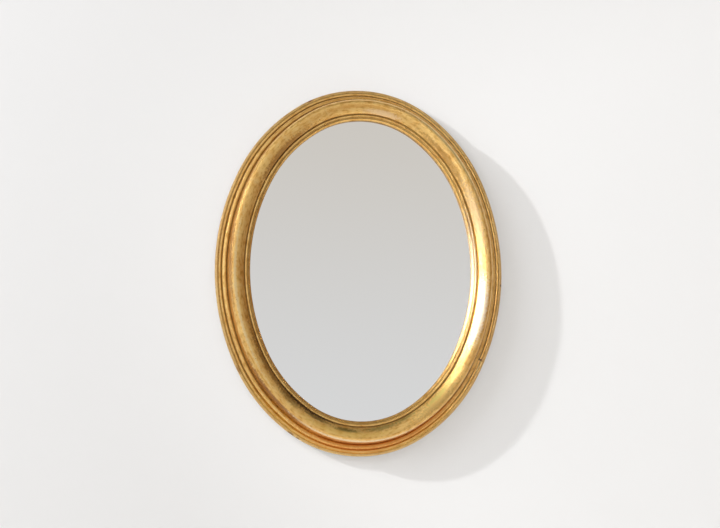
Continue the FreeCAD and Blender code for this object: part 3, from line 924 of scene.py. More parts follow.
@dataclass(frozen=True)
class BareWood:
    """Limewood, planed and left raw, gone brown with age: matt, close-grained, with short pores.

    The grain runs along the board, upright in the side segments and level in the others.
    """

    upright: bool
    pale: str = "#C9A26C"
    dark: str = "#9C7141"
    grime: str = "#5F4329"
    ring_width: float = 3.4
    pore_width: float = 0.7
    smear_size: float = 34.0
    stretch: float = 14.0
    relief: float = 0.08

    def material(self) -> bpy.types.Material:
        """Builds the material on object coordinates.

        Returns:
            The material.
        """
        material, tree = new_material("raw_limewood_" + ("upright" if self.upright else "level"))
        place = add(tree, "TexCoord", give="Object")
        along = (1.0, 1.0, 1 / self.stretch) if self.upright else (1 / self.stretch, 1.0, 1.0)
        board = add(tree, "Mapping", place, named={"Scale": along})
        rings = add(tree, "TexNoise", board, 1 / (self.ring_width * MM), 3.0,
                    named={"Distortion": 0.4})
        pores = add(tree, "TexNoise", board, 1 / (self.pore_width * MM), 2.0)
        smear = add(tree, "TexNoise", place, 1 / (self.smear_size * MM), 5.0)
        colour = layered(
            tree, linear(self.pale),
            (add(tree, "MapRange", rings, 0.35, 0.65, **SMOOTH), self.dark),
            (add(tree, "MapRange", pores, 0.62, 0.72, 0.0, 0.6, **SMOOTH), self.grime),
            (add(tree, "MapRange", smear, 0.5, 0.72, 0.0, 0.55, **SMOOTH), self.grime))
        rough = add(tree, "MapRange", smear, 0.4, 0.7, 0.62, 0.74, **SMOOTH)
        height = add(tree, "Math", pores, 0.5, rings, operation="MULTIPLY_ADD")
        surface(tree, {"Base Color": colour, "Roughness": rough}, height, self.relief)
        return material


@dataclass(frozen=True)
class SmallWood:
    """Softwood sawn to blocks, or beech turned to pins: pale, matt, with a straight grain."""

    name: str
    pale: str
    dark: str
    ring_width: float
    roughness: float
    grain_along: float = 0.12
    saw_pitch: float = 0.5
    relief: float = 0.06

    def material(self) -> bpy.types.Material:
        """Builds the material on object coordinates.

        Returns:
            The material.
        """
        material, tree = new_material(self.name)
        place = add(tree, "TexCoord", give="Object")
        board = add(tree, "Mapping", place, named={"Scale": (1.0, 1.0, self.grain_along)})
        rings = add(tree, "TexNoise", board, 1 / (self.ring_width * MM), 3.0)
        saw = add(tree, "TexNoise", place, 1 / (self.saw_pitch * MM))
        late = add(tree, "MapRange", rings, 0.4, 0.62, **SMOOTH)
        colour = add(tree, "Mix", late, linear(self.pale), linear(self.dark), **COLOUR)
        surface(tree, {"Base Color": colour, "Roughness": self.roughness}, saw, self.relief, 0.4)
        return material


@dataclass(frozen=True)
class Hardboard:
    """Wet-pressed hardboard, its screen side out: brown, flecked with fibre, a fine woven relief.

    The press's wire screen leaves a square grid; it is drawn 1.6 mm apart so that it shows.
    """

    brown: str = "#8E6A42"
    fleck: str = "#B8925F"
    dark: str = "#684A2C"
    fibre_size: float = 1.1
    cloud_size: float = 45.0
    screen_pitch: float = 1.6
    roughness: float = 0.62
    relief: float = 0.1

    def material(self) -> bpy.types.Material:
        """Builds the material on object coordinates.

        Returns:
            The material.
        """
        material, tree = new_material("pressed_hardboard_screen_side")
        place = add(tree, "TexCoord", give="Object")
        fibre = add(tree, "TexNoise", place, 1 / (self.fibre_size * MM), 4.0,
                    named={"Distortion": 1.2})
        cloud = add(tree, "TexNoise", place, 1 / (self.cloud_size * MM), 3.0)
        x, _, z = add(tree, "SeparateXYZ", place).node.outputs
        waves = []
        for side in (x, z):
            turn = add(tree, "Math", side, 2 * math.pi / (self.screen_pitch * MM),
                       operation="MULTIPLY")
            waves.append(add(tree, "Math", turn, operation="SINE"))
        grid = add(tree, "Math", *waves, operation="MAXIMUM")
        colour = layered(
            tree, linear(self.brown),
            (add(tree, "MapRange", cloud, 0.35, 0.65, 0.0, 0.5, **SMOOTH), self.dark),
            (add(tree, "MapRange", fibre, 0.55, 0.7, 0.0, 0.55, **SMOOTH), self.fleck),
            (add(tree, "MapRange", grid, 0.4, 1.0, 0.25, 0.0, **SMOOTH), self.dark))
        height = add(tree, "Math", grid, 0.4, fibre, operation="MULTIPLY_ADD")
        surface(tree, {"Base Color": colour, "Roughness": self.roughness}, height, self.relief,
                0.6)
        return material


@dataclass(frozen=True)
class ZincSteel:
    """Bright zinc-plated steel: a cool grey metal, cloudy from the bath, faintly scuffed."""

    name: str
    bright: str = "#C4C6C3"
    dull: str = "#A8A8A2"
    cloud_size: float = 3.0
    scuff_width: float = 0.25
    scuff_along: float = 0.08
    roughness: float = 0.3
    relief: float = 0.02

    def material(self) -> bpy.types.Material:
        """Builds the material on object coordinates.

        Returns:
            The material.
        """
        material, tree = new_material(self.name)
        place = add(tree, "TexCoord", give="Object")
        cloud = add(tree, "TexNoise", place, 1 / (self.cloud_size * MM), 4.0)
        drawn = add(tree, "Mapping", place, named={"Scale": (self.scuff_along, 1.0, 1.0)})
        scuff = add(tree, "TexNoise", drawn, 1 / (self.scuff_width * MM), 2.0)
        clouded = add(tree, "MapRange", cloud, 0.35, 0.68, **SMOOTH)
        worn = add(tree, "Math", cloud, scuff, operation="MULTIPLY")
        rough = add(tree, "MapRange", worn, 0.1, 0.45, self.roughness, self.roughness + 0.22,
                    **SMOOTH)
        colour = add(tree, "Mix", clouded, linear(self.bright), linear(self.dull), **COLOUR)
        surface(tree, {"Base Color": colour, "Metallic": 1.0, "Roughness": rough}, scuff,
                self.relief, 0.3)
        return material


@dataclass(frozen=True)
class SoftRubber:
    """Moulded soft rubber: near black, matt, with a bloom of dust and a fine eroded skin."""

    black: str = "#2B2A28"
    bloom: str = "#57534D"
    dust_size: float = 2.5
    skin_size: float = 0.4
    relief: float = 0.04

    def material(self) -> bpy.types.Material:
        """Builds the material on object coordinates.

        Returns:
            The material.
        """
        material, tree = new_material("moulded_soft_rubber")
        place = add(tree, "TexCoord", give="Object")
        dust = add(tree, "TexNoise", place, 1 / (self.dust_size * MM), 4.0)
        skin = add(tree, "TexNoise", place, 1 / (self.skin_size * MM))
        bloomed = add(tree, "MapRange", dust, 0.45, 0.75, 0.0, 0.7, **SMOOTH)
        rough = add(tree, "MapRange", dust, 0.4, 0.7, 0.55, 0.72, **SMOOTH)
        colour = add(tree, "Mix", bloomed, linear(self.black), linear(self.bloom), **COLOUR)
        surface(tree, {"Base Color": colour, "Roughness": rough}, skin, self.relief, 0.4)
        return material


@dataclass(frozen=True)
class SilveredGlass:
    """Polished float glass, silvered on its back: a clean mirror with hardly a tint of its own.

    The silver is sealed by a coat of grey paint, which shows only on the plate's back.
    """

    silver: str = "#F7F7F7"
    paint: str = "#6B7276"
    drip: str = "#7E8488"
    drip_size: float = 9.0

    def material(self) -> bpy.types.Material:
        """Builds the material on object coordinates and the way that each face looks.

        Returns:
            The material.
        """
        material, tree = new_material("silvered_float_glass")
        facing = add(tree, "NewGeometry", give="Normal")
        inward = add(tree, "SeparateXYZ", facing, give="Y")
        painted = add(tree, "MapRange", inward, 0.4, 0.6, **SMOOTH)
        place = add(tree, "TexCoord", give="Object")
        drips = add(tree, "TexNoise", place, 1 / (self.drip_size * MM))
        back = add(tree, "Mix", drips, linear(self.paint), linear(self.drip), **COLOUR)
        surface(tree, {
            "Base Color": add(tree, "Mix", painted, linear(self.silver), back, **COLOUR),
            "Metallic": add(tree, "MapRange", painted, 0.0, 1.0, 1.0, 0.0, **SMOOTH),
            "Roughness": add(tree, "MapRange", painted, 0.0, 1.0, 0.0, 0.5, **SMOOTH)})
        return material


# The parts of the mirror


@dataclass(frozen=True)
class Slip:
    """A break across one line of the moulding, past which the gesso slid a little inwards.

    It has a normal angle, the insets of its ends, how far the line slid and over what length it
    comes back, clockwise of the break, in millimetres. A break that gapes shows as a dark line.
    """

    degrees: float
    low: float
    high: float
    slide: float
    length: float
    gapes: bool = False


@dataclass
class Frame:
    """The four gilt segments of one moulding, butted end to end."""

    oval: Oval
    section: Section = field(default_factory=Section)
    step: float = 1.6
    sharp_degrees: float = 40.0
    wave_depth: float = 0.05
    wave_length: float = 28.0
    crest_reach: float = 0.5
    hairline: float = 0.5
    crack_steps: float = 0.9
    rebate_slack: float = 0.1
    seat_slack: float = 0.05
    back_slack: float = 0.02
    worked_from: float = 2.0
    sight_margin: float = 0.5
    wave_share: float = 0.6
    wave_shift: tuple[float, float, float] = (7.0, 0.0, 3.0)
    slips: tuple[Slip, ...] = (
        Slip(-21.5, 3.9, 8.5, 1.5, 34.0, True),
        Slip(8.9, 4.2, 8.4, 0.6, 9.0),
        Slip(63.5, 38.0, 41.2, 0.8, 16.0),
    )

    def segments(self) -> dict[str, tuple[float, float]]:
        """The first and last normal angle of each segment.

        Returns:
            The two angles by the segment's side, in degrees.
        """
        joint = self.oval.joint_angle
        return {"right": (-joint, joint), "top": (joint, 180 - joint),
                "left": (180 - joint, 180 + joint), "bottom": (180 + joint, 360 - joint)}

    def swept(self, start: float, end: float) -> bmesh.types.BMesh:
        """Draws the section at one joint and spins it round each arc to the next joint.

        Args:
            start: the normal angle of the first joint, in degrees.
            end: the normal angle of the last joint.

        Returns:
            The closed mesh, with its section map and its attributes.
        """
        bm = bmesh.new()
        across, openness, crest, inset, crack = (
            bm.verts.layers.float.new(name)
            for name in ("across", "openness", "crest", "inset", "crack"))
        loop = self.section.soften(bm, self.section.draw(bm))
        self.measure(loop, across, openness, inset)
        self.measure_crests(loop, across, crest)
        origin = self.oval.point(start, 0.0)
        origin.y = -self.section.back_gap * MM
        turn = Matrix.Rotation(-math.radians(start), 4, "Y")
        bmesh.ops.transform(bm, matrix=Matrix.Translation(origin) @ turn, verts=bm.verts[:])
        first = bm.verts[:] + bm.edges[:]
        ring = first
        for arc in self.oval.arcs():
            if arc.start < start - CLOSE or arc.end > end + CLOSE:
                continue
            angle = math.radians(arc.end - arc.start)
            steps = max(round(arc.radius * angle / (self.step * MM)), 1)
            made = bmesh.ops.spin(bm, geom=ring, cent=(arc.centre_x, 0.0, arc.centre_z),
                                  axis=(0, -1, 0), angle=angle, steps=steps,
                                  use_duplicate=False)
            ring = made["geom_last"]
        for end_ring in (first, ring):
            edges = [item for item in end_ring if isinstance(item, bmesh.types.BMEdge)]
            for vert in (item for item in end_ring if isinstance(item, bmesh.types.BMVert)):
                vert[crack] = self.hairline
            bmesh.ops.edgeloop_fill(bm, edges=edges)
        bmesh.ops.recalc_face_normals(bm, faces=bm.faces[:])
        self.map_section(bm, across)
        return bm

    def slide(self, bm: bmesh.types.BMesh, inset: Layer, crack: Layer) -> None:
        """Slides the lines behind each break inwards and marks the break itself.

        Args:
            bm: the swept segment.
            inset: the layer that holds each point's inset, in millimetres.
            crack: the layer that marks a break.
        """
        for slip in self.slips:
            middle = self.oval.length_to(slip.degrees)
            for vert in bm.verts:
                height = -vert.co.y / MM - self.section.back_gap
                if not slip.low <= vert[inset] <= slip.high or height < self.section.groove_height:
                    continue
                angle = self.oval.angle_of(vert.co.x, vert.co.z)
                behind = (middle - self.oval.length_to(angle)) / MM
                if slip.gapes and abs(behind) < self.step * self.crack_steps:
                    vert[crack] = 1.0
                if 0.0 < behind < slip.length:
                    inward = self.oval.point(angle, 1.0) - self.oval.point(angle, 0.0)
                    vert.co += inward * slip.slide * MM * (1.0 - behind / slip.length)

    def measure(self, loop: list[bmesh.types.BMVert], across: Layer, openness: Layer,
                inset: Layer) -> None:
        """Writes to each point of the section its run, how open it lies and its inset.

        Args:
            loop: the section's points in order.
            across: the layer for the run along the section, in metres.
            openness: the layer for the share of the half circle above that it sees.
            inset: the layer for the inset from the outer line, in millimetres.
        """
        run = 0.0
        for i, vert in enumerate(loop):
            if i:
                run += (vert.co - loop[i - 1].co).length
            vert[across] = run
            vert[inset] = -vert.co.x / MM
        for vert in loop:
            sides = {-1: -math.pi / 2, 1: -math.pi / 2}
            for other in loop:
                gap = other.co.x - vert.co.x
                if abs(gap) > CLOSE:
                    side = 1 if gap > 0 else -1
                    rise = math.atan2(vert.co.y - other.co.y, abs(gap))
                    sides[side] = max(sides[side], rise)
            vert[openness] = 1 - (sides[-1] + sides[1]) / math.pi

    def measure_crests(self, loop: list[bmesh.types.BMVert], across: Layer,
                       crest: Layer) -> None:
        """Writes how sharply the section turns about each point: 1 out at a crest, -1 in.

        Args:
            loop: the section's points in order.
            across: the layer that holds each point's run.
            crest: the layer for the turn, as a share of a quarter turn.
        """
        reach = self.crest_reach * MM
        for i, vert in enumerate(loop[1:-1], start=1):
            before = next((v for v in reversed(loop[:i]) if vert[across] - v[across] > reach),
                          loop[0])
            after = next((v for v in loop[i + 1:] if v[across] - vert[across] > reach), loop[-1])
            way_in, way_out = vert.co - before.co, after.co - vert.co
            turn = way_in.to_2d().angle_signed(way_out.to_2d(), 0.0)
            vert[crest] = -turn / (math.pi / 2)

    def map_section(self, bm: bmesh.types.BMesh, across: Layer) -> None:
        """Makes the section map: the run across the moulding and the length along the oval.

        Args:
            bm: the swept segment.
            across: the layer that holds each point's run.
        """
        layer = bm.loops.layers.uv.new("Moulding")
        length = {v: self.oval.length_to(self.oval.angle_of(v.co.x, v.co.z)) for v in bm.verts}
        for face in bm.faces:
            for corner in face.loops:
                corner[layer].uv = (corner.vert[across], length[corner.vert])

    def is_wood(self, face: bmesh.types.BMFace, inset: Layer) -> bool:
        """Tells whether a face is bare wood: the back, the rebates and the joint's faces.

        Only a joint's face has more than four corners.

        Args:
            face: a face of the swept segment.
            inset: the layer that holds each point's inset, in millimetres.

        Returns:
            True for bare wood, False for leaf.
        """
        section = self.section
        height = -face.calc_center_median().y / MM - section.back_gap
        deepest = min(vert[inset] for vert in face.verts)
        rebate = section.sight - section.glass_overlap - section.ledge_width - self.rebate_slack
        in_rebate = deepest > rebate and height < section.glass_seat + self.seat_slack
        return len(face.verts) > 4 or height < self.back_slack or in_rebate

    def work_surface(self, bm: bmesh.types.BMesh, inset: Layer) -> None:
        """Pushes the gilt faces in by a few hundredths, as a hand-rubbed ground waves.

        The push stops short of the back and of the sight edge, and it stays under the surface,
        so that no size grows.

        Args:
            bm: the swept segment.
            inset: the layer that holds each point's inset, in millimetres.
        """
        bm.normal_update()
        moves = {}
        for vert in bm.verts:
            height = -vert.co.y / MM - self.section.back_gap
            if height < self.worked_from or vert[inset] > self.section.sight - self.sight_margin:
                continue
            place = vert.co / (self.wave_length * MM) + Vector(self.wave_shift)
            depth = self.wave_share * (1.0 + noise.noise(place)) * self.wave_depth * MM
            moves[vert] = vert.normal * -depth
        for vert, move in moves.items():
            vert.co += move

    def build(self, leaf: bpy.types.Material, upright: bpy.types.Material,
              level: bpy.types.Material) -> None:
        """Builds the four segments and puts them in place of their CAD nodes.

        Args:
            leaf: the finish of the front and the edge.
            upright: the wood of the two side segments.
            level: the wood of the top and bottom segments.
        """
        for name, (start, end) in self.segments().items():
            wood = upright if name in ("right", "left") else level
            bm = self.swept(start, end)
            inset = bm.verts.layers.float["inset"]
            self.slide(bm, inset, bm.verts.layers.float["crack"])
            for face in bm.faces:
                finish = Finish.WOOD if self.is_wood(face, inset) else Finish.LEAF
                face.material_index = finish.value
            self.work_surface(bm, inset)
            made = finish_mesh(bm, f"gilt_{name}_segment", self.sharp_degrees, (leaf, wood))
            put(made, Body.FRAME.value, "gilt_wood", f"frame_{name}_segment")


def dress(material: bpy.types.Material, *starts: str) -> None:
    """Gives every CAD node whose name starts so a finish, and logs how many.

    Args:
        material: the finish.
        starts: how the nodes' names start.
    """
    chosen = [node for name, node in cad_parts.items() if name.startswith(starts)]
    for node in chosen:
        node.data.materials.clear()
        node.data.materials.append(material)
    log.info("%s on %d carried-over pieces", material.name, len(chosen))


@dataclass
class Hardware:
    """What is fastened to the back, in millimetres: turn buttons, the hanger and bumpers."""

    oval: Oval
    button_width: float = 9.0
    button_reach: float = 19.0
    button_tail: float = 6.0
    button_inset: float = 26.0
    button_crown_angle: float = 64.0
    plate_thickness: float = 1.2
    plate_rim: float = 0.22
    rim_degrees: float = 60.0
    button_gap: float = 0.3
    wire_radius: float = 1.3
    ring_gap: float = 0.3
    ring_half_width: float = 8.0
    ring_leg: float = 4.5
    ring_corner: float = 2.5
    ring_top_inset: float = 4.0
    knuckle_length: float = 9.5
    knuckle_play: float = 0.08
    strap_width: float = 38.0
    strap_height: float = 11.0
    strap_corner: float = 2.0
    bumper_angle: float = 43.0
    bumper_inset: float = 15.0
    bumper_radius: float = 7.0
    bumper_round: float = 0.8
    bumper_dish: float = 0.5
    round_steps: int = 40
    sharp_degrees: float = 35.0
    wire_sharp_degrees: float = 60.0
    back: float = -6.0

    def quarters(self, angle: float) -> dict[str, float]:
        """The normal angle of each quarter's place, by the quarter's name."""
        return {"upper_right": angle, "upper_left": 180 - angle, "lower_left": 180 + angle,
                "lower_right": 360 - angle}

    def seat(self, degrees: float, inset: float, behind: float) -> Matrix:
        """A place on the back whose x runs outwards and whose y runs to the wall.

        Args:
            degrees: the normal angle of the place.
            inset: its inset, in millimetres.
            behind: its y, in millimetres: 0 is the wall, and less is in front of it.

        Returns:
            The matrix that takes a piece there.
        """
        spot = self.oval.point(degrees, inset * MM)
        spot.y = behind * MM
        return Matrix.Translation(spot) @ Matrix.Rotation(-math.radians(degrees), 4, "Y")

    def stamped(self, bm: bmesh.types.BMesh, thickness: float) -> None:
        """Fills a closed outline drawn with x and y, thickens it and stands it on the back.

        Args:
            bm: the bmesh that holds the outline alone.
            thickness: the sheet's thickness, in millimetres; it ends behind y = 0.
        """
        face = bmesh.ops.edgeloop_fill(bm, edges=bm.edges[:])["faces"]
        made = bmesh.ops.extrude_face_region(bm, geom=face)["geom"]
        lifted = [item for item in made if isinstance(item, bmesh.types.BMVert)]
        bmesh.ops.translate(bm, verts=lifted, vec=(0.0, 0.0, thickness * MM))
        bmesh.ops.recalc_face_normals(bm, faces=bm.faces[:])
        turn = math.radians(self.rim_degrees)
        rims = [edge for edge in bm.edges if edge.calc_face_angle(0.0) > turn]
        bmesh.ops.bevel(bm, geom=rims, offset=self.plate_rim * MM, offset_type="OFFSET",
                        segments=3, profile=0.5, affect="EDGES", material=-1)
        bmesh.ops.rotate(bm, verts=bm.verts[:], matrix=Matrix.Rotation(-math.pi / 2, 3, "X"))

    def button(self, name: str, degrees: float, zinc: bpy.types.Material) -> None:
        """A stamped turn button: a flat plate with round ends, the long one over the panel.

        Args:
            name: the place's name.
            degrees: the place's normal angle.
            zinc: the plating.
        """
        bm = bmesh.new()
        half = self.button_width / 2
        tip, tail = half - self.button_reach, self.button_tail - half
        Pen(bm, tip, -half).arc(tip, half, half, 14).line(tail, half, 8).arc(
            tail, -half, half, 14).line(tip, -half, 8).close()
        self.stamped(bm, self.plate_thickness)
        place = self.seat(degrees, self.button_inset, self.back + self.button_gap)
        bmesh.ops.transform(bm, matrix=place, verts=bm.verts[:])
        made = finish_mesh(bm, f"stamped_turn_button_{name}", self.sharp_degrees, [zinc])
        put(made, Body[f"BUTTON_{name.upper()}"].value, "zinc_steel", f"turn_button_{name}")

    def ring_axis(self) -> Vector:
        """The middle of the wire that the knuckle holds, in metres.

        Returns:
            The point.
        """
        rise = self.ring_leg + self.ring_half_width + self.wire_radius
        return Vector((0.0, (self.back + self.plate_thickness + self.wire_radius
                             + self.ring_gap) * MM,
                       self.oval.half_height - (self.ring_top_inset + rise) * MM))

    def ring(self, zinc: bpy.types.Material) -> None:
        """The hanger ring: one wire bent to a D and butted under the knuckle.

        Args:
            zinc: the plating.
        """
        path = bmesh.new()
        wide, bend, leg = self.ring_half_width, self.ring_corner, self.ring_leg
        line = Pen(path, 0.0, 0.0).line(bend - wide, 0.0, 4).arc(-wide, bend, bend, 8).line(
            -wide, leg, 2).arc(0.0, leg + wide, wide, 16).arc(wide, leg, wide, 16).line(
            wide, bend, 2).arc(wide - bend, 0.0, bend, 8).line(0.0, 0.0, 4).close()
        axis = self.ring_axis()
        data = bpy.data.curves.new("bent_wire", "CURVE")
        data.dimensions = "3D"
        data.bevel_depth = self.wire_radius * MM
        data.bevel_resolution = 6
        wire = data.splines.new("POLY")
        wire.points.add(len(line) - 1)
        wire.use_cyclic_u = True
        for point, vert in zip(wire.points, line):
            point.co = (axis.x + vert.co.x, axis.y, axis.z + vert.co.y, 1.0)
        path.free()
        holder = bpy.data.objects.new("bent_wire", data)
        mesh = bpy.data.meshes.new_from_object(holder)
        bpy.data.objects.remove(holder)
        bm = bmesh.new()
        bm.from_mesh(mesh)
        bpy.data.meshes.remove(mesh)
        bmesh.ops.recalc_face_normals(bm, faces=bm.faces[:])
        made = finish_mesh(bm, "bent_hanger_ring", self.wire_sharp_degrees, [zinc])
        put(made, Body.RING.value, "zinc_steel", "hanger_ring")

    def strap(self, zinc: bpy.types.Material) -> None:
        """The stamped strap with the tongue that is rolled round the ring's wire.

        Args:
            zinc: the plating.
        """
        bm = bmesh.new()
        half, corner = self.strap_width / 2, self.strap_corner
        top, foot = -self.wire_radius, -self.wire_radius - self.strap_height
        Pen(bm, -half, foot + corner).line(-half, top - corner, 3).arc(
            -half + corner, top, corner, 6).line(half - corner, top, 12).arc(
            half, top - corner, corner, 6).line(half, foot + corner, 3).arc(
            half - corner, foot, corner, 6).line(-half + corner, foot, 12).arc(
            -half, foot + corner, corner, 6).close()
        self.stamped(bm, self.plate_thickness)
        bmesh.ops.rotate(bm, verts=bm.verts[:], matrix=Matrix.Rotation(math.pi, 3, "X"))
        axis = self.ring_axis()
        low = min(vert.co.y for vert in bm.verts)
        high = max(vert.co.z for vert in bm.verts)
        bmesh.ops.translate(bm, verts=bm.verts[:], vec=(
            0.0, self.back * MM - low, axis.z + top * MM - high))
        tongue = self.tongue(axis)
        bm.from_mesh(tongue)
        bpy.data.meshes.remove(tongue)
        made = finish_mesh(bm, "stamped_hanger_strap", self.sharp_degrees, [zinc])
        put(made, Body.FRAME.value, "zinc_steel", "hanger_strap")

    def tongue(self, axis: Vector) -> bpy.types.Mesh:
        """The rolled knuckle: a thick tube, its ends rounded, on the ring's axis.

        Args:
            axis: the middle of the knuckle, in metres.

        Returns:
            Its mesh.
        """
        bm = bmesh.new()
        outer = self.plate_thickness + self.wire_radius + self.ring_gap
        inner = self.wire_radius + self.knuckle_play
        rim, half = self.plate_rim, self.knuckle_length / 2
        Pen(bm, -half, inner).line(-half, outer - rim).arc(-half + rim, outer, rim, 3).line(
            half - rim, outer, 6).arc(half, outer - rim, rim, 3).line(half, inner).line(
            -half, inner, 6).close()
        bmesh.ops.spin(bm, geom=bm.verts[:] + bm.edges[:], cent=(0, 0, 0), axis=(1, 0, 0),
                       angle=2 * math.pi, steps=self.round_steps, use_merge=True)
        bmesh.ops.recalc_face_normals(bm, faces=bm.faces[:])
        bmesh.ops.translate(bm, verts=bm.verts[:], vec=axis)
        mesh = bpy.data.meshes.new("tongue")
        bm.to_mesh(mesh)
        bm.free()
        return mesh

    def bumper(self, name: str, degrees: float, rubber: bpy.types.Material) -> None:
        """A moulded pad: a round rim and a shallow dish where it meets the wall.

        Args:
            name: the quarter's name.
            degrees: the place's normal angle.
            rubber: the rubber.
        """
        bm = bmesh.new()
        rim, reach = self.bumper_round, self.bumper_radius
        dish = self.bumper_dish
        Pen(bm, 0.0, self.back).line(reach, self.back, 4).line(reach, -rim, 4)
        Pen(bm, reach - rim, 0.0).line(reach / 2 + dish, 0.0, 2).line(
            reach / 2, -dish, 2).line(0.0, -dish, 3)
        Pen(bm, reach - rim, 0.0).arc(reach, -rim, rim, 5)
        bmesh.ops.remove_doubles(bm, verts=bm.verts[:], dist=CLOSE)
        bmesh.ops.spin(bm, geom=bm.verts[:] + bm.edges[:], cent=(0, 0, 0), axis=(0, 1, 0),
                       angle=2 * math.pi, steps=self.round_steps, use_merge=True)
        bmesh.ops.remove_doubles(bm, verts=bm.verts[:], dist=CLOSE)
        bmesh.ops.recalc_face_normals(bm, faces=bm.faces[:])
        bmesh.ops.transform(bm, matrix=self.seat(degrees, self.bumper_inset, 0.0),
                            verts=bm.verts[:])
        made = finish_mesh(bm, f"moulded_bumper_{name}", self.sharp_degrees, [rubber])
        put(made, Body.FRAME.value, "bumper_rubber", f"wall_bumper_{name}")

    def build(self, zinc: bpy.types.Material, rubber: bpy.types.Material) -> None:
        """Builds and seats every piece of the hardware that is modelled anew.

        Args:
            zinc: the plating of the buttons, the ring and the strap.
            rubber: the rubber of the bumpers.
        """
        places = {"right": 0.0, "left": 180.0, **self.quarters(self.button_crown_angle)}
        for name, degrees in places.items():
            self.button(name, degrees, zinc)
        self.ring(zinc)
        self.strap(zinc)
        for name, degrees in self.quarters(self.bumper_angle).items():
            self.bumper(name, degrees, rubber)


# The studio


@dataclass(frozen=True)
class Glow:
    """A soft bright part of the room: its direction, its inner and outer radius and its light."""

    azimuth: float
    elevation: float
    inner: float
    outer: float
    colour: str
    strength: float


